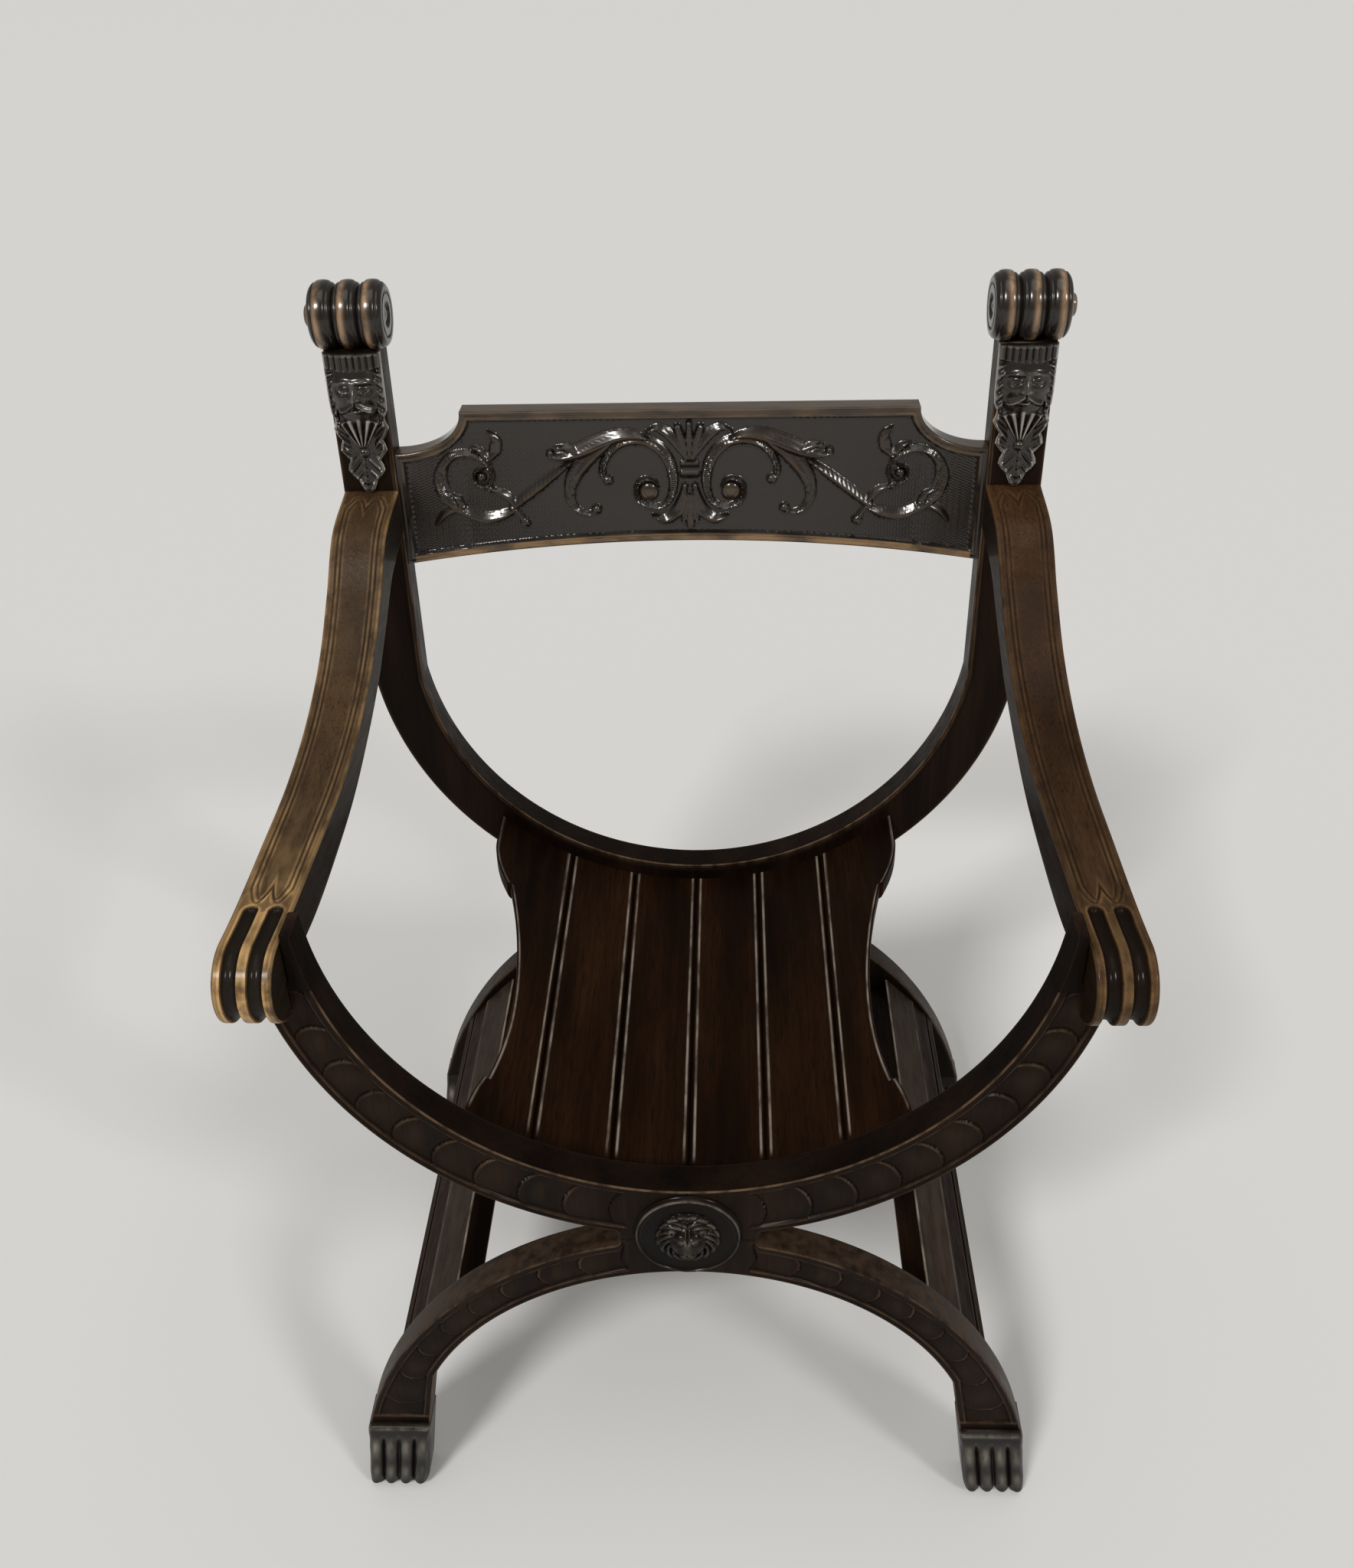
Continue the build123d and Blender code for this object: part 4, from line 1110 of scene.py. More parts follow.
# ---- arms ---------------------------------------------------------------------------------
@dataclass
class Arms:
    """Splayed arms that sweep down from the posts and end in a fluted roll."""

    finish: Walnut
    roll_radius: float = 32.0
    roll_centre: float = 2.0
    roll_z: float = 610.0
    seat_z: float = 607.0
    seat_run: float = 60.0
    rear_top: float = 797.0
    rear_bottom: float = 757.0
    rear_edges: tuple[float, float] = (257.0, 305.0)
    front_edges: tuple[float, float] = (280.0, 322.0)
    flute_pitch: float = 18.2
    flute_half: float = 5.6
    radius: float = 2.2
    top_sweep: tuple[tuple[float, float], ...] = (
        (0.25, 0.055), (0.41, 0.11), (0.56, 0.226), (0.69, 0.41), (0.79, 0.645), (0.88, 0.89),
    )
    under_sweep: tuple[tuple[float, float], ...] = (
        (0.32, 0.065), (0.46, 0.16), (0.57, 0.285), (0.69, 0.46), (0.8, 0.69), (0.88, 0.87),
    )
    lay: Layout = LAYOUT

    def sweep(
        self, shares: Sequence[Sequence[float]], start: Sequence[float], end: Sequence[float]
    ) -> Array:
        """Curve of an arm's edge from front to back.

        Args:
            shares: Places on it, as shares of the arm's run and of the edge's rise.
            start: Its front end, as (depth, height).
            end: Its rear end.

        Returns:
            Points (depth, height) on the curve.
        """
        run = self.lay.rear_y - self.lay.front_y
        middle = [(self.lay.front_y + a * run, start[1] + b * (end[1] - start[1])) for a, b in shares]
        ahead = (start[0] - 12.0, start[1])
        curve = spline([ahead, start, *middle, end], 400)
        return joined(np.array([start]), curve[curve[:, 0] > start[0] + 0.5])

    def edges(self) -> tuple[Array, Array]:
        """Upper and lower edge of an arm as (depth, height), point against point."""
        centre = (self.lay.front_y + self.roll_centre, self.roll_z)
        drop = math.sqrt(self.roll_radius**2 - self.roll_centre**2)
        low = math.degrees(math.asin(drop / self.roll_radius))
        roll = arc(centre, self.roll_radius, 180.0 + low, 90.0, 160)
        front = self.lay.front_y
        top_start = (centre[0], self.roll_z + self.roll_radius)
        under_start = (front + self.seat_run, self.seat_z)
        heel = (front, self.roll_z - drop + 0.6)
        under_roll = np.array([heel, (front, self.seat_z), under_start])
        top = self.sweep(self.top_sweep, top_start, (self.lay.rear_y, self.rear_top))
        under = self.sweep(self.under_sweep, under_start, (self.lay.rear_y, self.rear_bottom))
        split = int(np.argmin(np.abs(top[:, 0] - (front + 42.0))))
        parts = [
            (joined(roll, top[: split + 1]), under_roll),
            (top[split:], under),
        ]
        return matched(parts, 1.3)

    def sides(self, depth: Array) -> tuple[Array, Array]:
        """Sides of the arm, which run straight from its front to its rear edges.

        Args:
            depth: Depths at which they are wanted.

        Returns:
            The inner and the outer side.
        """
        front = self.lay.front_y + self.roll_centre - self.roll_radius
        share = np.clip((depth - front) / (self.lay.rear_y - front), 0.0, 1.0)
        inner = self.front_edges[0] + (self.rear_edges[0] - self.front_edges[0]) * share
        outer = self.front_edges[1] + (self.rear_edges[1] - self.front_edges[1]) * share
        return inner, outer

    def panel(self, face: Face, gap: float, ends: Array) -> Array:
        """Distance from a cut line that runs along both edges and ends in a brace.

        A brace is two small arches side by side: rise * |sin(pi * s)|, where s runs from -1 to 1
        across the arm.

        Args:
            face: The arm's upper face.
            gap: Distance of the line from the edge.
            ends: Distance from the nearer end of the panel.

        Returns:
            The distance, on either side of the line.
        """
        half = np.maximum(face.width / 2 - gap, 1.0)
        s = np.clip(np.abs(face.across - face.width / 2) / half, 0.0, 1.0)
        rise = 16.0
        steep = np.sqrt(1.0 + (rise * math.pi / half * np.cos(math.pi * s)) ** 2)
        from_end = (ends - gap - rise + rise * np.sin(math.pi * s)) / steep
        return np.abs(np.minimum(face.edge() - gap, from_end))

    def relief(self, face: Face) -> tuple[Array, Array, Array]:
        """Round-ended flutes over the roll, and double cut lines along both edges of the arm.

        Args:
            face: The arm's upper face.

        Returns:
            Depth below the face, wear and dirt.
        """
        roll_length = self.roll_radius * math.pi
        side = face.across - face.width / 2
        total = face.travel[-1, 0]
        depth = np.zeros_like(face.x)
        dirt = np.zeros_like(face.x)
        front_light = 1.0 - smooth(roll_length - 10.0, roll_length + 190.0, face.travel)
        wear = 0.03 + 0.32 * front_light + (0.25 + 0.3 * front_light) * bump(face.edge(), 1.0, 2.0)
        past = np.clip(face.travel - (roll_length + 31.0), 0.0, None)
        begin = smooth(2.0, 10.0, face.travel)
        for lane in (-0.5, 0.5):
            off = np.hypot(side - lane * self.flute_pitch, past)
            cut = half_ball(off / self.flute_half) * begin
            depth += 5.0 * cut
            dirt += np.clip(1.8 * cut, 0, 1)
            wear += 0.9 * bump(off, self.flute_half + 0.9, 1.0) * begin
        wear += 0.45 * bump(side, 0.0, 3.0) * begin * (past <= 0)
        ends = np.minimum(face.travel - (roll_length + 34.0), total - 3.0 - face.travel)
        for gap in (6.2, 10.0):
            off = self.panel(face, gap, ends)
            cut = bump(off, 0.0, 0.6)
            depth += 0.6 * cut
            dirt += 0.45 * cut
            wear += (0.15 + 0.3 * front_light) * bump(off, 1.7, 0.8)
        wear = wear * (1 - np.clip(dirt, 0, 1))
        return depth, wear, dirt

    def build(self, wood: bpy.types.Material, shaded: bpy.types.Material) -> None:
        """Make both arms; the right-hand one has a darker, less worn copy of the finish as painted shade.

        Args:
            wood: The left arm's finish.
            shaded: The right arm's finish, darker, as painted shade.
        """
        top, under = self.edges()
        corners = ((top, 0), (top, 1), (under, 1), (under, 0))
        lines = [spots(self.sides(edge[:, 0])[side], *edge.T) for edge, side in corners]
        thick = np.linalg.norm(top - under, axis=1)
        bar = Bar(*lines, radius=np.minimum(self.radius, 0.3 * thick))
        piece = Piece("arm_right_wood", self.finish)
        bar.onto(piece, 76, 12, self.relief, rubbed=0.4, soil_and_shade=0.8).make_pair(shaded, wood)


# ---- scrolls on the posts -----------------------------------------------------------------
@dataclass
class CrestScrolls:
    """Reeded scrolls on the heads of the posts, each with a turned button."""

    finish: Walnut
    radius: float = 28.5
    axis_z: float = 947.0
    inner: float = 250.0
    length: float = 62.0
    reeds: int = 3
    valley: float = 5.6
    button_radius: float = 12.0
    button_height: float = 7.0
    lay: Layout = LAYOUT

    def profile(self) -> tuple[Array, Array]:
        """Outline of the scroll from its inner to its outer end, and how worn it is.

        Along the axis the radius dips between the reeds: radius - valley * (1 - reed), where the
        reed is (1 - |2t - 1|^2.4) to the power 0.8 over each reed's width. Two grooves cut each.
        """
        t = np.linspace(0.0, 1.0, 130)
        local = t * self.reeds - np.floor(np.minimum(t * self.reeds, self.reeds - 1e-9))
        reed = np.clip(1.0 - np.abs(2 * local - 1) ** 2.4, 0, 1) ** 0.8
        body = self.radius - self.valley * (1.0 - reed)
        body = body - (1.3 * bump(local, 0.80, 0.04) + 0.8 * bump(local, 0.2, 0.04))
        ends = np.array([
            [0.0, 0.0], [2.0, 7.0], [2.0, 9.0], [0.0, 11.0], [0.0, 16.5], [1.6, 18.0], [0.0, 19.5],
        ])
        inner = np.stack([self.inner + ends[:, 0], ends[:, 1]], axis=1)
        outer = np.array([[self.inner + self.length, 14.0], [self.inner + self.length, 0.0]])
        line = np.concatenate([inner, np.stack([self.inner + t * self.length, body], axis=1), outer])
        rubbed = bump(local, 0.62, 0.13)
        wear = np.concatenate([np.full(len(inner), 0.05), 0.95 * rubbed, [0.1, 0.1]])
        return line, wear

    def build(self, wood: bpy.types.Material) -> None:
        """Make both scrolls and their buttons.

        Args:
            wood: Their finish.
        """
        lay = self.lay
        line, wear = self.profile()
        end = self.inner + self.length
        centre = (0.0, lay.stile_mid, self.axis_z)
        scroll = turned(Piece("crest_scroll_right_wood", self.finish), line, centre, 120, wear)
        scroll.points[:, 2] = np.maximum(scroll.points[:, 2], lay.stile_top)
        x, y, z = scroll.points.T
        dark = np.clip((self.radius - np.hypot(y - lay.stile_mid, z - self.axis_z)) / 3.6, 0, 1)
        inside = (x > self.inner + 1) & (x < end - 1)
        scroll.dirt = np.where(inside, dark, 0.7 * dark)
        scroll.make_pair(wood)
        rim, height = self.button_radius, self.button_height
        outline = np.array([
            [0.0, 0.0], [0.0, rim], [1.2, rim], [2.4, rim - 0.6], [2.8, rim - 2.4], [3.2, rim - 2.6],
            [4.4, rim - 2.6], [5.6, rim - 3.2], [6.4, rim - 4.6], [height, rim - 7.5], [height, 0.0],
        ])
        outline[:, 0] += end
        button = Piece("scroll_button_right_wood", self.finish)
        turned(button, outline, centre, 64, np.full(len(outline), 0.6)).make_pair(wood)


# ---- carved masks -------------------------------------------------------------------------
@dataclass
class MaskPlaques:
    """Plaques on the posts: a bearded mask over a ribbed fan and a drop leaf."""

    finish: Walnut
    middle: float = 281.0
    top: float = 921.18
    foot: float = 798.0
    base: float = 4.0
    outline: tuple[tuple[float, float], ...] = (
        (798.0, 2.2), (800.0, 4.6), (804.0, 6.6), (808.5, 8.2), (813.0, 12.6), (818.0, 16.2), (823.0, 15.2),
        (827.0, 13.2), (831.0, 16.4), (836.0, 20.4), (841.0, 19.4), (845.0, 17.6), (849.5, 21.0),
        (855.0, 23.6), (860.0, 22.2), (864.0, 21.4), (870.0, 23.8), (880.0, 24.4), (921.18, 24.4),
    )
    lay: Layout = LAYOUT

    def head(self, u: Array, v: Array) -> Array:
        """Height of the mask: an egg with brows, lids, nose, lips and moustache.

        The eyes lie halfway down the head, the nose ends halfway from brow to chin, and the mouth a
        third of the way from nose to chin. Each feature is a bell curve added to the egg.

        Args:
            u: Distance from the face's middle line, always positive.
            v: Height above the floor.

        Returns:
            Height over the plaque's ground.
        """
        egg = half_ball(u / 21.5, (v - 888.0) / 30.0)
        height = 9.5 * egg
        on = smooth(0.02, 0.25, egg)
        brow = 2.6 * bump(v, 898.2 - 0.012 * (u - 6.0) ** 2, 2.1) * bump(u, 8.0, 7.5)
        socket = -2.6 * bump(v, 892.6, 3.4) * bump(u, 8.2, 5.4)
        ball = 2.6 * half_ball((u - 8.2) / 4.4, (v - 892.4) / 2.6)
        lid = 0.7 * bump(np.hypot((u - 8.2) / 5.2, (v - 892.4) / 3.3), 1.0, 0.16)
        ridge = 1.6 + 4.6 * smooth(898.0, 883.5, v)
        nose = ridge * bump(u, 0.0, 2.5) * smooth(880.4, 883.0, v) * smooth(901.0, 896.0, v)
        wing = 2.3 * bump(u, 3.6, 1.5) * bump(v, 883.6, 2.0)
        cheek = 1.7 * bump(u, 11.5, 5.0) * bump(v, 884.5, 5.0)
        whisker_v = 879.4 - 0.9 * np.clip(u - 1.0, 0, None) + 0.028 * np.clip(u - 1.0, 0, None) ** 2
        whisker = 3.4 * bump(v, whisker_v, 2.3) * smooth(0.0, 1.4, u) * (1.0 - smooth(13.0, 17.0, u))
        strands = 0.35 * np.cos((v - whisker_v) * 2.6) * bump(v, whisker_v, 2.6) * smooth(0.5, 2.0, u)
        lip = 1.9 * bump(v, 872.8, 1.3) * bump(u, 0.0, 4.6)
        mouth = -1.5 * bump(v, 875.0, 0.8) * bump(u, 0.0, 5.5)
        features = brow + socket + ball + lid + nose + wing + cheek + whisker + strands + lip + mouth
        return height + on * features

    def relief(self, face: Face) -> tuple[Array, Array, Array]:
        """The whole plaque: mask, hair, curls, fan, knob and leaf joined by their maximum.

        Args:
            face: The plaque's front.

        Returns:
            Depth below the face, wear with painted highlights, and dirt.
        """
        u = np.abs(face.x - self.middle)
        v = face.z
        edge = face.edge()
        hub = 834.0
        height = 0.9 * bump(edge, 2.0, 1.3)
        head = self.head(u, v)
        hair_on = smooth(903.5, 907.0, v - 0.006 * u**2)
        waves = np.abs(np.cos((face.x - self.middle) * math.pi / 5.4))
        hair = hair_on * (6.4 + 2.0 * waves - 0.010 * u**2)
        locks = smooth(16.5, 18.5, u) * smooth(861.0, 866.0, v) * (1 - smooth(902.0, 906.0, v))
        curls = locks * (3.6 + 1.4 * np.sin(v * 0.72 + u * 0.5))
        reach = np.hypot(face.x - self.middle, v - hub)
        turn = np.degrees(np.arctan2(u, v - hub))
        fan_on = smooth(3.0, 8.0, reach) * (1 - smooth(30.5, 32.5, reach))
        fan_on = fan_on * (1 - smooth(29.0, 33.0, turn)) * (v > hub - 1)
        rib = np.abs(np.cos(np.radians(turn) * 180.0 / 15.5))
        fan = fan_on * (2.2 + 4.4 * rib**0.8) * (0.62 + 0.38 * smooth(6.0, 30.0, reach))
        knob = 4.6 * half_ball(reach / 4.8)
        leaf_on = smooth(hub + 1, hub - 5, v)
        stem = 3.4 * bump(u, 0.0, 2.7) * leaf_on * (1 - 0.3 * np.abs(np.sin(v * 0.42)))
        veins = 1.5 * leaf_on * np.clip(np.cos((v + 1.1 * u) * 0.62), 0, 1) * smooth(2.0, 4.0, u)
        side_on = smooth(864.0, 858.0, v) * smooth(hub - 4, hub + 4, v) * smooth(9.0, 14.0, u)
        side = side_on * (1.6 + 1.5 * np.cos((v - 0.9 * u) * 0.62))
        ground = height + np.maximum(stem, 0.9 * veins) + side
        total = np.maximum.reduce([ground, head, hair, curls, fan, knob])
        total = total * smooth(0.0, 2.4, edge) * smooth(self.foot, self.foot + 4.0, v)
        total = total * (1 - 0.9 * smooth(self.top - 1.6, self.top, v))
        slope_v, slope_u = np.gradient(total)
        peak = -(np.gradient(slope_v)[0] + np.gradient(slope_u)[1])
        # Painted highlights: the mask's highest points, the fan's ribs and the leaf's outline are lighter;
        # the sharp ridges are wear.
        wear = smooth(0.06, 0.6, peak) * 0.36 + 0.32 * smooth(9.0, 13.5, total)
        wear = wear + 0.9 * fan_on * smooth(0.75, 0.98, rib) + 0.8 * bump(edge, 1.9, 1.0) * (v < 862.0)
        dirt = smooth(0.05, 0.55, -peak) + 0.5 * (total < 1.2)
        return -total, np.clip(wear, 0, 1), np.clip(dirt, 0, 1)

    def build(self, wood: bpy.types.Material) -> None:
        """Make both plaques.

        Args:
            wood: Their finish.
        """
        shape = np.array(self.outline)
        z = np.linspace(self.foot, self.top, 250)
        half = np.interp(z, shape[:, 0], shape[:, 1])
        front = self.lay.rear_y - self.base
        inner = np.stack([self.middle - half, z], axis=1)
        outer = np.stack([self.middle + half, z], axis=1)
        bar = timber_bar(inner, outer, front, self.base, 1.0)
        piece = Piece("mask_plaque_right_carving", self.finish)
        bar.onto(piece, 116, 5, self.relief).make_pair(wood, sharp=50)


# ---- back rail ----------------------------------------------------------------------------
@dataclass(frozen=True)
class Stroke:
    """One carved stroke: its line on the right-hand half, half widths along it, and height."""

    line: tuple[tuple[float, float], ...]
    half: tuple[float, ...]
    height: float
    hollow: float = 0.0


@dataclass
class BackRail:
    """Shaped rail with a worn border round scrolling leaves on a matted ground."""

    finish: Walnut
    half: float = 257.0
    top: float = 866.0
    foot: float = 746.0
    rise: float = 21.0
    shoulder: tuple[float, float] = (60.0, 37.0)
    thickness: float = 22.0
    border: float = 8.0
    ground: float = 4.0
    strokes: tuple[Stroke, ...] = (
        Stroke(
            (
                (28, 796), (31, 802), (38, 804.5), (45, 801), (47.5, 793), (45, 784.5), (38, 779.5),
                (29, 778), (20.5, 782),(15.5, 792), (14.5, 805), (17, 818), (24, 830), (33, 837), (44, 840),
                (55, 838.5), (65, 833), (72, 824.5), (76, 815), (76, 808), (71.5, 803),
            ),
            (1.2, 1.8, 2.2, 2.4, 2.8, 3.8, 4.4, 4.8, 4.6, 3.6, 2.8, 2.4),
            4.8, 1.8,
        ),
        Stroke(((36, 841), (50, 844), (62, 843), (75, 838.5), (88, 833), (100, 828), (112, 825), (124, 826)),
               (1.6, 4.2, 5.6, 6.4, 6.6, 5.8, 3.6, 0.8), 5.0, 1.0),
        Stroke(((96, 829), (106, 833), (116, 834)), (3.4, 3.2, 0.8), 4.2),
        Stroke(((66, 838), (80, 830), (92, 820), (101, 808), (105.5, 796), (105, 784), (99, 775.5),
                (90, 772.5), (82, 776)),(1.4, 4.6, 6.4, 6.6, 5.6, 4.4, 3.2, 2.2, 1.0), 4.8, 1.8),
        Stroke(((104, 820), (118, 809.5), (131, 799.5), (144, 789.5), (157, 779.5)),
               (1.6, 3.6, 4.2, 4.2, 3.6), 4.8, 0.4),
        Stroke(
            (
                (155, 777), (168, 771.5), (182, 769.5), (197, 774), (209, 782), (217, 793), (219.5, 806),
                (215, 819), (205, 827.5), (193, 829), (182, 824.5), (175, 815), (174, 805), (178.5, 799.5),
                (186, 800), (189.5, 806), (187, 813), (181, 814),
            ),
            (2.0, 4.4, 5.0, 4.4, 3.8, 5.0, 6.2, 5.4, 4.0, 3.6, 3.0, 2.6, 2.4, 2.0, 1.8, 1.4, 1.0), 4.8, 1.6,
        ),
        Stroke(((157, 779), (151, 772), (147.5, 765)), (2.8, 2.2, 2.8), 4.2),
        Stroke(((155, 780), (160, 788), (168, 794), (176, 796)), (1.4, 3.4, 3.0, 0.7), 4.2),
        Stroke(((176, 823), (169, 832), (168, 842), (174, 849)), (2.0, 4.8, 4.0, 0.8), 4.6, 0.8),
        Stroke(((178, 826), (184, 833), (190, 835)), (2.8, 2.8, 0.8), 4.2),
        Stroke(((205, 779), (214, 776), (222, 770), (227, 763)), (3.2, 3.6, 2.8, 1.6), 4.4),
        Stroke(((203, 780), (206, 788), (213, 792)), (3.4, 2.6, 0.7), 4.2),
        Stroke(((3, 823), (9, 834), (18, 845), (28, 850), (37, 847)), (1.6, 3.8, 4.6, 3.6, 1.0), 4.2, 1.0),
        Stroke(((2, 823), (6, 837), (10, 851)), (1.4, 3.2, 2.6), 4.6, 0.8),
        Stroke(((0, 823), (0, 838), (0, 854)), (1.2, 2.8, 2.2), 5.0, 0.8),
        Stroke(((5, 795), (7, 783), (13, 772), (22, 766.5), (33, 770)), (2.0, 4.2, 5.0, 4.4, 1.2), 4.8, 1.0),
        Stroke(((2, 790), (4, 777), (6, 765)), (1.2, 2.6, 2.0), 4.2),
        Stroke(((0, 790), (0, 775), (0, 760)), (1.2, 2.8, 3.0), 5.0, 0.8),
    )
    knobs: tuple[tuple[float, float, float, float], ...] = (
        (36.0, 792.0, 8.6, 4.4), (183.0, 807.0, 4.4, 4.2), (71.5, 803.0, 4.6, 5.2), (83.0, 776.0, 4.4, 5.0),
        (147.5, 764.0, 4.6, 5.0), (4.5, 797.0, 3.0, 4.4), (176.5, 796.0, 3.8, 4.8), (121.0, 828.0, 3.6, 4.8),
    )
    lay: Layout = LAYOUT

    def edges(self) -> tuple[Array, Array]:
        """Arched lower and shouldered upper edge, point against point."""
        wide, deep = self.shoulder
        turn = np.radians(np.linspace(0.0, 90.0, 70))
        slope = np.stack([self.half - wide * np.cos(turn), self.top - deep * np.sin(turn)], axis=1)
        count = int(2 * (self.half - wide) / 0.94)
        level = np.linspace(wide - self.half, self.half - wide, count)
        flat = np.stack([level, np.full(count, self.top)], axis=1)
        upper = np.concatenate([(slope * (-1, 1))[::-1], flat[1:-1], slope])
        curve = self.foot - self.rise * (upper[:, 0] / self.half) ** 2
        return np.stack([upper[:, 0], curve], axis=1), upper

    def ornament(self, x: Array, z: Array) -> Array:
        """Height of the carving over the ground.

        Each stroke is as high as 1 - (distance / half width)^2 to the power 0.3. Its upper half
        slopes back to the ground, and its lower half stands steep. Each knob is a dome. Strokes and
        knobs are joined by their maximum.

        Args:
            x: Distance from the rail's middle, always positive.
            z: Height above the floor.

        Returns:
            The height at each point.
        """
        points = np.stack([x.ravel(), z.ravel()], axis=1)
        total = np.zeros(len(points))
        for stroke in self.strokes:
            line = spline(stroke.line, 110)
            share = np.linspace(0.0, 1.0, len(stroke.half))
            half = np.interp(np.linspace(0.0, 1.0, len(line)), share, stroke.half)
            low, high = line.min(0) - 8.0, line.max(0) + 8.0
            near = ((points > low) & (points < high)).all(axis=1)
            distance, index = nearest(points[near], line)
            wide = 1.15 * half[index]
            ratio = distance / wide
            below = np.clip((line[index, 1] - points[near][:, 1]) / wide, -1.0, 1.0)
            slope = 1.0 - 0.78 * np.clip(0.25 - below, 0.0, 1.0)
            body = np.clip(1.0 - ratio**2, 0.0, 1.0) ** 0.3 * slope
            body = 1.15 * stroke.height * body - 0.5 * stroke.hollow * bump(ratio, 0.0, 0.4)
            total[near] = np.maximum(total[near], body)
        for knob_x, knob_z, radius, height in self.knobs:
            ratio = np.hypot(points[:, 0] - knob_x, points[:, 1] - knob_z) / radius
            dome = height * np.clip(1.0 - ratio**2.4, 0.0, 1.0) ** 0.5
            total = np.maximum(total, dome)
        collar = 3.4 * (np.abs(points[:, 0]) < 8.4) * np.clip(
            bump(points[:, 1], 817.0, 2.6) + bump(points[:, 1], 808.0, 2.6), 0, 1
        )
        return np.maximum(total, collar).reshape(x.shape)

    def relief(self, face: Face) -> tuple[Array, Array, Array]:
        """Border, matted ground and ornament.

        Args:
            face: The rail's front.

        Returns:
            Depth below the face, wear with a painted highlight on the big knob, and dirt with
            painted shadow under and beside the carving.
        """
        points = np.stack([face.x.ravel(), face.z.ravel()], axis=1)
        far_top, _ = nearest(points, respaced(self.edges()[1], 420))
        far_foot = face.z - (self.foot - self.rise * (face.x / self.half) ** 2)
        edge = np.minimum(far_top.reshape(face.x.shape), far_foot)
        edge = np.minimum(edge, self.half - np.abs(face.x))
        sunk = smooth(self.border - 0.6, self.border + 1.0, edge)
        lean = self.ornament(np.abs(face.x), face.z)
        first = np.sin(2.3 * face.x + 1.9 * np.sin(1.3 * face.z))
        matting = 0.16 * (first + np.sin(2.5 * face.z + 2.1 * np.sin(1.1 * face.x))) * (lean < 0.3)
        depth = sunk * (self.ground + matting - lean)
        border = 1.0 - smooth(self.border - 1.5, self.border - 0.5, edge)
        bead = bump(edge, self.border - 2.2, 0.7)
        depth = depth + 0.5 * bump(edge, self.border - 3.8, 0.6)
        slope_a, slope_b = np.gradient(lean)
        steep = np.hypot(slope_a, slope_b)
        free = np.abs(face.x) < self.half - self.border
        top_light = np.where(face.z > self.foot + 30.0, 0.2, 0.95) * free
        wear = border * (top_light + 0.25 * bead) + sunk * smooth(2.6, 5.0, lean) * 0.10
        wear = wear + sunk * 0.09 * smooth(0.1, 0.5, matting)
        dirt = sunk * (lean < 0.3) * 0.2 + sunk * smooth(0.6, 1.6, steep) * 0.4
        # Painted shadow: the ground darkens just under each stroke and, less, beside it.
        above = np.maximum.reduce([np.roll(lean, -step, axis=1) for step in (1, 2, 4)])
        beside = (np.roll(lean, 3, axis=0) + np.roll(lean, -3, axis=0) + np.roll(lean, 2, axis=1)) / 2
        shade = np.clip(smooth(1.0, 2.6, above) + 0.7 * smooth(0.8, 2.4, beside), 0, 1)
        dirt = dirt + 0.8 * bump(edge, self.border + 1.2, 1.0) + sunk * shade * (lean < 0.8)
        # Painted highlight: the big knob of the end scroll is lighter and is not darkened.
        knob = np.hypot(np.abs(face.x) - 36.0, face.z - 792.0) < 8.2
        return depth, np.clip(wear + 0.14 * knob, 0, 1), np.clip(dirt * ~knob, 0, 1)

    def build(self, wood: bpy.types.Material) -> None:
        """Make the rail between the posts.

        Args:
            wood: Its finish.
        """
        y = self.lay.stile_mid - self.thickness / 2
        bar = timber_bar(*self.edges(), y, self.thickness, 1.6)
        piece = Piece("back_rail_carving", self.finish)
        bar.onto(piece, 128, 6, self.relief, rubbed=0.3, faded=0.3)
        piece.make(wood, "back_rail", sharp=50)


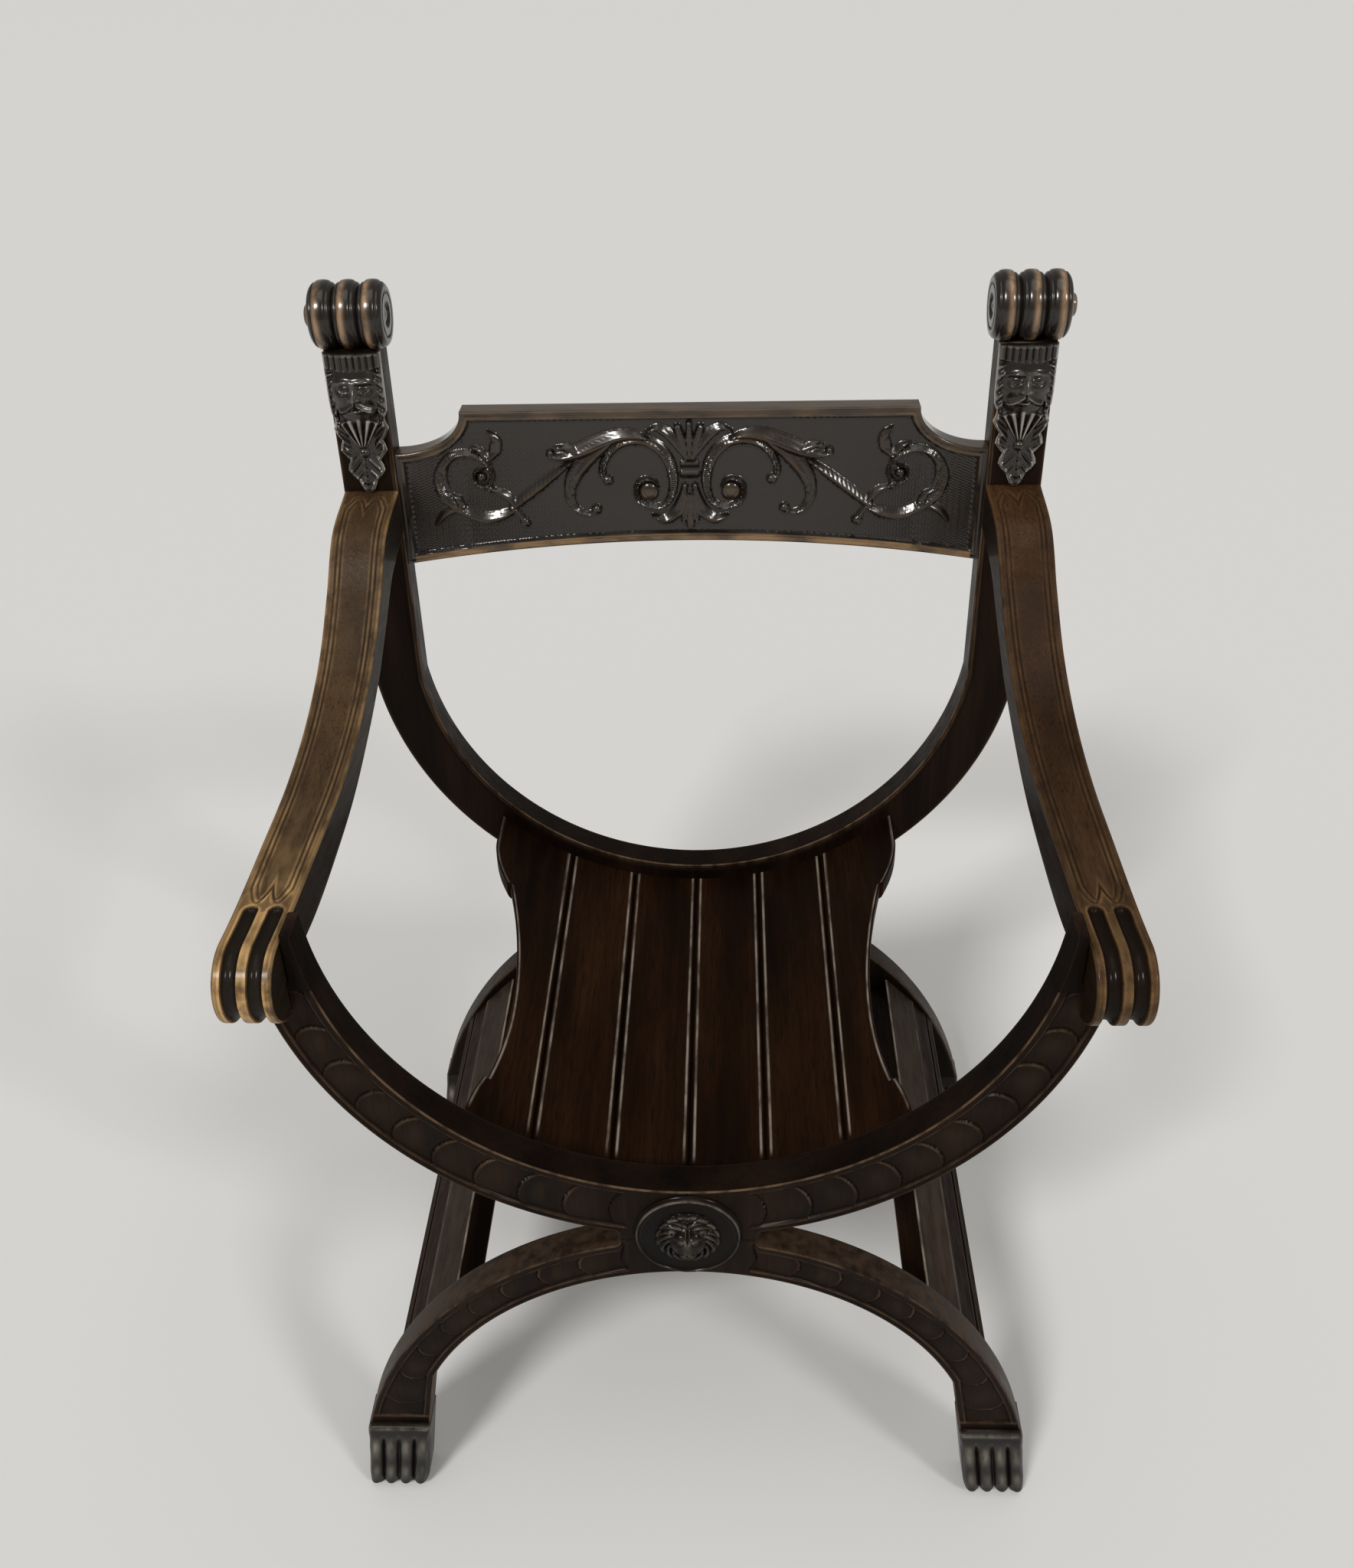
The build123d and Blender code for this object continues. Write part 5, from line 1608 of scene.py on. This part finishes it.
# ---- boss ---------------------------------------------------------------------------------
@dataclass
class LionBoss:
    """Round boss with a lion's mask inside a moulded rim."""

    finish: Walnut
    radius: float = 43.5
    centre_z: float = 347.0
    ground: float = 3.0
    share: float = 0.8           # size of the lion against the room inside the rim
    lay: Layout = LAYOUT

    def height(self, u: Array, v: Array) -> Array:
        """Height over the frame: rim, ground, mane of curling locks, and a lion's face.

        The mane is a ring whose height follows |cos| of a turning angle. Brows, eyes, nose, muzzle,
        ears and chin are bell curves on a dome.

        Args:
            u: Distance across from the centre.
            v: Distance up from the centre.

        Returns:
            The height at each point.
        """
        span = np.hypot(u, v)
        rim = 1.8 * bump(span, 40.6, 1.1) + 0.5 * bump(span, 37.6, 0.7)
        base = self.ground + rim - 2.2 * smooth(41.5, 43.5, span)
        u, v = u / self.share, v / self.share
        span = span / self.share
        turn = np.arctan2(v, u)
        side = np.abs(u)
        swirl = 0.10 * (span - 20.0)
        lock = np.abs(np.cos(8.0 * (turn + swirl * np.sign(u) * 0.5)))
        mane_on = smooth(33.8, 31.0, span + 1.6 * (1 - lock)) * smooth(13.0, 18.0, span)
        mane = mane_on * (3.2 + 3.6 * lock * smooth(34.0, 22.0, span))
        dome = 12.5 * half_ball(u / 20.5, (v + 0.5) / 22.5)
        on = smooth(0.5, 4.0, dome)
        brow = 3.2 * bump(v, 8.6 + 0.10 * side, 2.6) * bump(side, 7.2, 4.6)
        socket = -2.6 * bump(side, 8.4, 3.4) * bump(v, 4.4, 2.4)
        eye = 2.4 * half_ball((side - 8.2) / 3.2, (v - 4.3) / 2.0)
        furrow = -1.6 * bump(side, 0.0, 1.2) * smooth(4.0, 9.0, v)
        bridge = 2.6 * bump(side, 0.0, 3.8) * smooth(-5.0, -1.0, v) * (1 - smooth(6.0, 11.0, v))
        nose = 3.4 * bump(v, -4.4, 2.4) * bump(side, 0.0, 4.4)
        muzzle = 3.6 * bump(side, 4.6, 4.0) * bump(v, -9.4, 3.6)
        cleft = -2.4 * bump(side, 0.0, 0.8) * bump(v, -9.6, 3.4)
        mouth = -2.8 * bump(v, -13.4 + 0.22 * side, 1.1) * smooth(11.0, 8.0, side)
        chin = 2.2 * bump(v, -17.0, 2.2) * bump(side, 0.0, 5.0)
        whisk = 0.5 * np.cos(1.9 * (v + 0.35 * side)) * bump(side, 7.5, 3.5) * bump(v, -9.4, 3.4)
        ear = 3.2 * half_ball((side - 15.4) / 4.0, (v - 14.6) / 4.2)
        features = brow + socket + eye + furrow + bridge + nose + muzzle + cleft + mouth + chin + whisk
        lifted = np.maximum(mane, dome + on * features)
        ear_on = ear - 1.4 * bump(np.hypot(side - 15.4, v - 14.6), 0.0, 1.8)
        return base + np.maximum(lifted, np.where(ear > 0, 6.0 + ear_on, 0.0)) * (span < 35.0)

    def build(self, wood: bpy.types.Material) -> None:
        """Make the boss.

        Args:
            wood: Its finish.
        """
        steps, rings = 300, 96
        span = np.linspace(0.5, self.radius, rings)[:, None]
        turn = np.linspace(0.0, 2 * math.pi, steps, endpoint=False)[None, :]
        u, v = span * np.cos(turn), span * np.sin(turn)
        height = self.height(u, v)
        front = self.lay.front_y
        grid = np.stack([u, front - height, self.centre_z + v], axis=-1)
        back = np.stack([u[-1], np.full(steps, front), self.centre_z + v[-1]], axis=-1)[None]
        middle = self.height(np.zeros(1), np.zeros(1))[0]
        poles = np.array([[0.0, front - middle, self.centre_z], [0.0, front, self.centre_z]])
        points = np.concatenate([np.concatenate([grid, back]).reshape(-1, 3), poles])
        rise_span, rise_turn = np.gradient(height)
        round_bend = np.gradient(rise_turn)[1] * (20.0 / np.maximum(span, 4.0)) ** 2
        bend = -(np.gradient(rise_span)[0] + round_bend)
        # Painted highlight: the lion's high points are lighter, and all wear is stronger on its upper half;
        # the bent ridges and the rim line are wear.
        wear = smooth(0.03, 0.3, bend) * 0.5 + 0.3 * smooth(11.0, 18.0, height)
        wear = wear * (0.35 + 0.9 * smooth(-12.0, 18.0, v)) + 0.25 * bump(span, 40.8, 0.7)
        flat = (height < self.ground + 1.0) & (span < 39.5)
        dirt = smooth(0.03, 0.3, -bend) + 0.9 * flat
        pad = np.zeros(steps + 2)
        all_wear_and_highlight, all_dirt_and_shade = (np.concatenate([part.ravel(), pad]) for part in (wear, dirt))
        piece = Piece("lion_boss_carving", self.finish)
        piece.add(points, all_wear_and_highlight, all_dirt_and_shade, ball_faces(rings + 1, steps))
        piece.make(wood, "lion_boss", sharp=60)


# ---- seat ---------------------------------------------------------------------------------
@dataclass
class Seat:
    """Six boards in a hollow curve, with a cusped outline at both sides."""

    finish: Walnut
    top_radius: float = 277.0
    thickness: float = 15.0
    pitch: float = 63.0
    gap: float = 2.0
    bevel: float = 2.4
    boards: int = 6
    lay: Layout = LAYOUT

    def half_width(self, y: Array) -> Array:
        """Half width of the seat in plan: arcs that meet in two cusps.

        Args:
            y: Depths at which it is wanted.

        Returns:
            The half width at each depth.
        """
        start, end = self.lay.seat_front, self.lay.rear_y

        def bow(level: float, tip: tuple[float, float], root: float) -> Array:
            """Arc that leaves level at depth root straight along Y and passes through tip."""
            drop = level - tip[0]
            run = tip[1] - root
            radius = (drop**2 + run**2) / (2 * drop)
            off = np.clip(np.abs(y - root), 0, abs(run))
            return level - radius + np.sign(radius) * np.sqrt(radius**2 - off**2)

        front_cusp, rear_cusp, waist = start + 64.0, end - 92.0, start + 157.0
        front = bow(178.0, (169.0, front_cusp), start)
        fore_waist = bow(157.0, (166.0, front_cusp), waist)
        back_waist = bow(157.0, (177.0, rear_cusp), waist)
        rear = bow(195.0, (180.0, rear_cusp), end - 42.0)
        conditions = [y < front_cusp, y < waist, y < rear_cusp, y < end - 42.0]
        return np.select(conditions, [front, fore_waist, back_waist, rear], 195.0)

    def bend(self, points: Array) -> Array:
        """Lay flat points (distance round, depth, height) on the seat's curve.

        Args:
            points: x is the distance round the curve, z the height over its face.

        Returns:
            The points, with the angle x / radius about the rings' centre.
        """
        turn = points[:, 0] / self.top_radius
        span = self.top_radius - points[:, 2]
        return np.stack([span * np.sin(turn), points[:, 1], self.lay.ring_z - span * np.cos(turn)], axis=1)

    def relief(self, face: Face) -> tuple[Array, Array, Array]:
        """Sat-smooth flat boards, with wear and painted highlight along their arrises, and painted shade
        from the front frame near it.

        Args:
            face: The board's upper face.

        Returns:
            Depth below the face, wear with painted highlight, and dirt with painted shade.
        """
        edge = face.edge()
        # Painted shade: the arris lines stop near the front frame, whose shade falls there, and the boards
        # darken against it.
        lit = smooth(self.lay.seat_front + 22.0, self.lay.seat_front + 34.0, face.y)
        wear = 1.3 * bump(edge, self.bevel + 0.6, 0.7) * lit
        return np.zeros_like(edge), wear, 0.5 * bump(face.y, self.lay.seat_front + 2.0, 7.0)

    def tongue(self, piece: Piece, left: float, y: Array) -> None:
        """Add the board's tongue, which closes the gap to the board on its left and is darkened all over as
        painted shade in the joint.

        Args:
            piece: The board.
            left: Its left edge, measured across.
            y: Depths of its stations.
        """
        top, low = -5.0, -10.0
        right = left - self.gap
        lines = []
        for place, height in ((right, top), (left, top), (left, low), (right, low)):
            turn = math.asin(place / (self.top_radius - height))
            lines.append(spots(self.top_radius * turn, y, height))
        bar = Bar(*lines, radius=0.2, round_steps=1)
        # Painted shade: the tongue is darkened all over.
        bar.onto(piece, 4, 3, warp=self.bend, rubbed=0.0, soil_and_shade=1.0)

    def build(self, wood: bpy.types.Material) -> None:
        """Make the six boards.

        Args:
            wood: Their finish.
        """
        cusps = np.array([self.lay.seat_front + 64.0, self.lay.rear_y - 92.0])
        y = np.linspace(self.lay.seat_front, self.lay.rear_y, 240)
        y = np.sort(np.concatenate([y, cusps - 0.05, cusps + 0.05]))
        half = self.half_width(y)
        for number in range(self.boards):
            left = np.full(len(y), (number - self.boards / 2) * self.pitch + self.gap / 2)
            right = left + self.pitch - self.gap
            if number == 0:
                left = -half
            if number == self.boards - 1:
                right = half
            lines = []
            low = self.thickness
            for edge, deep in ((left, 0.0), (right, 0.0), (right, low), (left, low)):
                turn = np.arcsin(edge / (self.top_radius + deep))
                lines.append(spots(self.top_radius * turn, y, -deep))
            bar = Bar(*lines, radius=self.bevel)
            piece = Piece(f"seat_board_{number + 1}", self.finish)
            bar.onto(piece, 56, 6, self.relief, self.bend, 0.0)
            if number:
                self.tongue(piece, left[0], y)
            piece.make(wood, f"seat_stave_{number + 1}")


# ---- side boards --------------------------------------------------------------------------
@dataclass
class SideBoards:
    """Crowned and grooved boards that tie the legs of the two frames."""

    finish: Walnut
    centre: tuple[float, float] = (219.0, 197.5)
    face: float = 80.0
    thickness: float = 25.0
    tilt: float = 48.5
    crown: float = 1.6
    crown_at: float = 44.0
    groove_at: float = 69.0
    lay: Layout = LAYOUT

    def relief(self, face: Face) -> tuple[Array, Array, Array]:
        """Two flat slopes that meet in a ridge, and a groove near the lower edge; the upper slope is painted
        lighter, as light falls on it.

        Args:
            face: The board's outer face.

        Returns:
            Depth below the face, wear with painted light on the upper slope, and dirt.
        """
        far = np.where(face.across < self.crown_at, self.crown_at, self.face - self.crown_at)
        ridge = 1.0 - np.abs(face.across - self.crown_at) / far
        groove = smooth(1.8, 1.2, np.abs(face.across - self.groove_at))
        depth = 1.6 * groove - self.crown * ridge
        # Painted light: the upper slope is lighter; the ridge and the groove's edges are wear.
        wear = 0.25 * bump(face.across, self.crown_at, 1.4) + 0.10 * (face.across < self.crown_at)
        wear = wear + 0.15 * bump(np.abs(face.across - self.groove_at), 2.6, 0.8)
        return depth, wear, 0.9 * groove

    def build(self, wood: bpy.types.Material) -> None:
        """Make both boards.

        Args:
            wood: Their finish.
        """
        turn = math.radians(self.tilt)
        out = np.array([math.sin(turn), math.cos(turn)])
        down = np.array([math.cos(turn), -math.sin(turn)])
        middle = np.array(self.centre)
        y = np.linspace(self.lay.seat_front, self.lay.rear_y, 60)
        lines = []
        for shift, lift in ((-0.5, 0.5), (0.5, 0.5), (0.5, -0.5), (-0.5, -0.5)):
            spot = middle + shift * self.face * down + lift * self.thickness * out
            lines.append(spots(spot[0], y, spot[1]))
        piece = Piece("side_board_right_wood", self.finish)
        Bar(*lines, radius=1.6).onto(piece, 110, 8, self.relief).make_pair(wood)


# ---- studio -------------------------------------------------------------------------------
@dataclass
class Studio:
    """Pale floor, soft lamps and the camera."""

    position: tuple[float, float, float] = (0.0342, -1.0122, 1.2876)
    focal: float = 1931.26       # in image heights of 2048
    pitch: float = 33.13
    roll: float = -1.496
    yaw: float = -2.441
    picture: tuple[int, int] = (1768, 2048)

    def floor(self) -> None:
        """A wide plain floor."""
        mesh = bpy.data.meshes.new("studio_floor")
        reach = 40.0
        corners = [(x * reach, y * reach, 0) for x, y in ((-1, -1), (1, -1), (1, 1), (-1, 1))]
        mesh.from_pydata(corners, [], [(0, 1, 2, 3)])
        pale = bpy.data.materials.new("pale_floor")
        pale.use_nodes = True
        shader = pale.node_tree.nodes["Principled BSDF"]
        shader.inputs["Base Color"].default_value = (0.72, 0.71, 0.69, 1.0)
        shader.inputs["Roughness"].default_value = 0.9
        mesh.materials.append(pale)
        body = bpy.data.objects.new("studio_floor", mesh)
        bpy.context.scene.collection.objects.link(body)

    def sun(self, name: str, place: Sequence[float], strength: float, spread: float) -> None:
        """A far lamp that shines from a place towards the chair.

        Args:
            name: Its name.
            place: Any point towards which it lies.
            strength: Its light on a surface that faces it.
            spread: Its width in the sky, in degrees.
        """
        data = bpy.data.lights.new(name, "SUN")
        data.energy = strength
        data.angle = math.radians(spread)
        body = bpy.data.objects.new(name, data)
        body.location = place
        body.rotation_euler = (-Vector(place)).to_track_quat("-Z", "Y").to_euler()
        bpy.context.scene.collection.objects.link(body)

    def camera(self) -> None:
        """The camera, turned by its yaw, pitch and roll."""
        pitch, roll, yaw = (math.radians(value) for value in (self.pitch, self.roll, self.yaw))
        level = math.cos(pitch)
        ahead = Vector((math.sin(yaw) * level, math.cos(yaw) * level, -math.sin(pitch)))
        right = ahead.cross(Vector((0, 0, 1))).normalized()
        up = right.cross(ahead)
        right, up = (
            math.cos(roll) * right + math.sin(roll) * up,
            math.cos(roll) * up - math.sin(roll) * right,
        )
        data = bpy.data.cameras.new("camera")
        data.sensor_fit = "VERTICAL"
        data.sensor_height = 36.0
        data.lens = self.focal * 36.0 / self.picture[1]
        body = bpy.data.objects.new("camera", data)
        turn = Matrix((right, up, -ahead)).transposed().to_4x4()
        body.matrix_world = Matrix.Translation(Vector(self.position)) @ turn
        bpy.context.scene.collection.objects.link(body)
        bpy.context.scene.camera = body

    def build(self) -> None:
        """Set up the light, the floor and the camera."""
        scene = bpy.context.scene
        scene.view_settings.view_transform = "Standard"
        world = bpy.data.worlds.new("studio_world")
        world.use_nodes = True
        sky = world.node_tree.nodes["Background"]
        sky.inputs["Color"].default_value = (1.0, 0.975, 0.94, 1.0)
        sky.inputs["Strength"].default_value = 0.27
        scene.world = world
        self.sun("key", (-1.1, -2.1, 2.2), 1.75, 12.0)
        self.sun("fill", (1.7, -1.7, 1.6), 0.9, 10.0)
        self.sun("top", (0.3, -0.4, 3.0), 0.4, 40.0)
        self.floor()
        self.camera()


# ---- the whole chair ----------------------------------------------------------------------
DARK = Walnut(
    "walnut_dark_wax", "walnut_dark",
    (0.0026, 0.0014, 0.0009), (0.0150, 0.0066, 0.0034), (0.140, 0.086, 0.050),
    gloss=0.06, coat=0.03,
)
GOLDEN = Walnut(
    "walnut_golden_wax", "walnut_golden",
    (0.020, 0.0105, 0.0050), (0.062, 0.034, 0.0150), (0.47, 0.285, 0.120),
    grain=Grain.DEEP, rough=0.40, gloss=0.16, coat=0.15,
)
GOLDEN_SHADED = replace(
    GOLDEN, name="walnut_golden_wax_shaded",
    dark=(0.0190, 0.0085, 0.0036), body=(0.056, 0.0260, 0.0105),
    wear=0.22, gloss=0.07, coat=0.12,
)
# Its pale worn colour also paints the highlights along the seat boards' arrises and the light on the side
# boards' upper slope.
BROWN = Walnut(
    "walnut_seat_wax", "walnut_brown",
    (0.0050, 0.0021, 0.0011), (0.0270, 0.0108, 0.0042), (0.30, 0.25, 0.20),
    grain=Grain.DEEP, rough=0.48, gloss=0.03, coat=0.0,
)
CARVED = Walnut(
    "walnut_carved_wax", "walnut_carved",
    (0.0022, 0.0013, 0.0009), (0.0085, 0.0045, 0.0028), (0.32, 0.200, 0.110),
    rough=0.30, gloss=0.25, coat=0.8, texture=0.12,
)
# Pale grey worn colour: on the masks it paints highlights as well as wear.
MASKS = replace(CARVED, name="walnut_mask_wax", worn_and_highlit=(0.34, 0.30, 0.255), coat=1.0)
SHADED = replace(CARVED, name="walnut_shaded_wax", worn_and_highlit=(0.13, 0.106, 0.085), gloss=0.05, coat=0.12)
# The grey worn colour also paints the highlights on the feet's knuckles and ledge.
PAW = Walnut(
    "walnut_paw_wax", "walnut_dark",
    (0.0026, 0.0020, 0.0016), (0.0100, 0.0076, 0.0054), (0.21, 0.185, 0.150),
    rough=0.36, gloss=0.12, coat=0.2,
)
RAIL = Walnut(
    "walnut_rail_wax", "walnut_dark",
    (0.0030, 0.0017, 0.0011), (0.0110, 0.0056, 0.0032), (0.215, 0.125, 0.052),
    grain=Grain.ACROSS, rough=0.32, gloss=0.25, coat=1.0, texture=0.08,
)
PLAIN = Walnut(
    "walnut_plain_wax", "walnut_plain",
    (0.0060, 0.0034, 0.0021), (0.0180, 0.0098, 0.0058), (0.10, 0.06, 0.035),
    grain=Grain.ACROSS, rough=0.55, gloss=0.15, coat=0.0,
)
FINISHES = (DARK, GOLDEN, GOLDEN_SHADED, BROWN, CARVED, MASKS, SHADED, PAW, RAIL, PLAIN)


def dress_nodes(names: Sequence[str], material: bpy.types.Material) -> None:
    """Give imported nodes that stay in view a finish.

    Args:
        names: The nodes' names.
        material: Their finish.
    """
    for name in names:
        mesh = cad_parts[name].data
        mesh.materials.clear()
        mesh.materials.append(material)


def main() -> None:
    """Build the chair piece by piece."""
    logging.basicConfig(level=logging.INFO, format="%(message)s")
    Studio().build()
    woods = {finish.name: finish.material() for finish in FINISHES}
    FrameTimbers(DARK).build(woods[DARK.name])
    PawFeet(PAW).build(woods[PAW.name])
    Arms(GOLDEN).build(woods[GOLDEN.name], woods[GOLDEN_SHADED.name])
    CrestScrolls(CARVED).build(woods[CARVED.name])
    MaskPlaques(MASKS).build(woods[MASKS.name])
    BackRail(RAIL).build(woods[RAIL.name])
    LionBoss(SHADED).build(woods[SHADED.name])
    Seat(BROWN).build(woods[BROWN.name])
    SideBoards(BROWN).build(woods[BROWN.name])
    dowels = ("waist_dowels", "seam_dowels", "foot_dowels", "arm_dowels", "crest_dowels")
    dress_nodes((*dowels, "seat_cleat_front", "seat_cleat_rear"), woods[PLAIN.name])


if __name__ == "__main__":
    main()
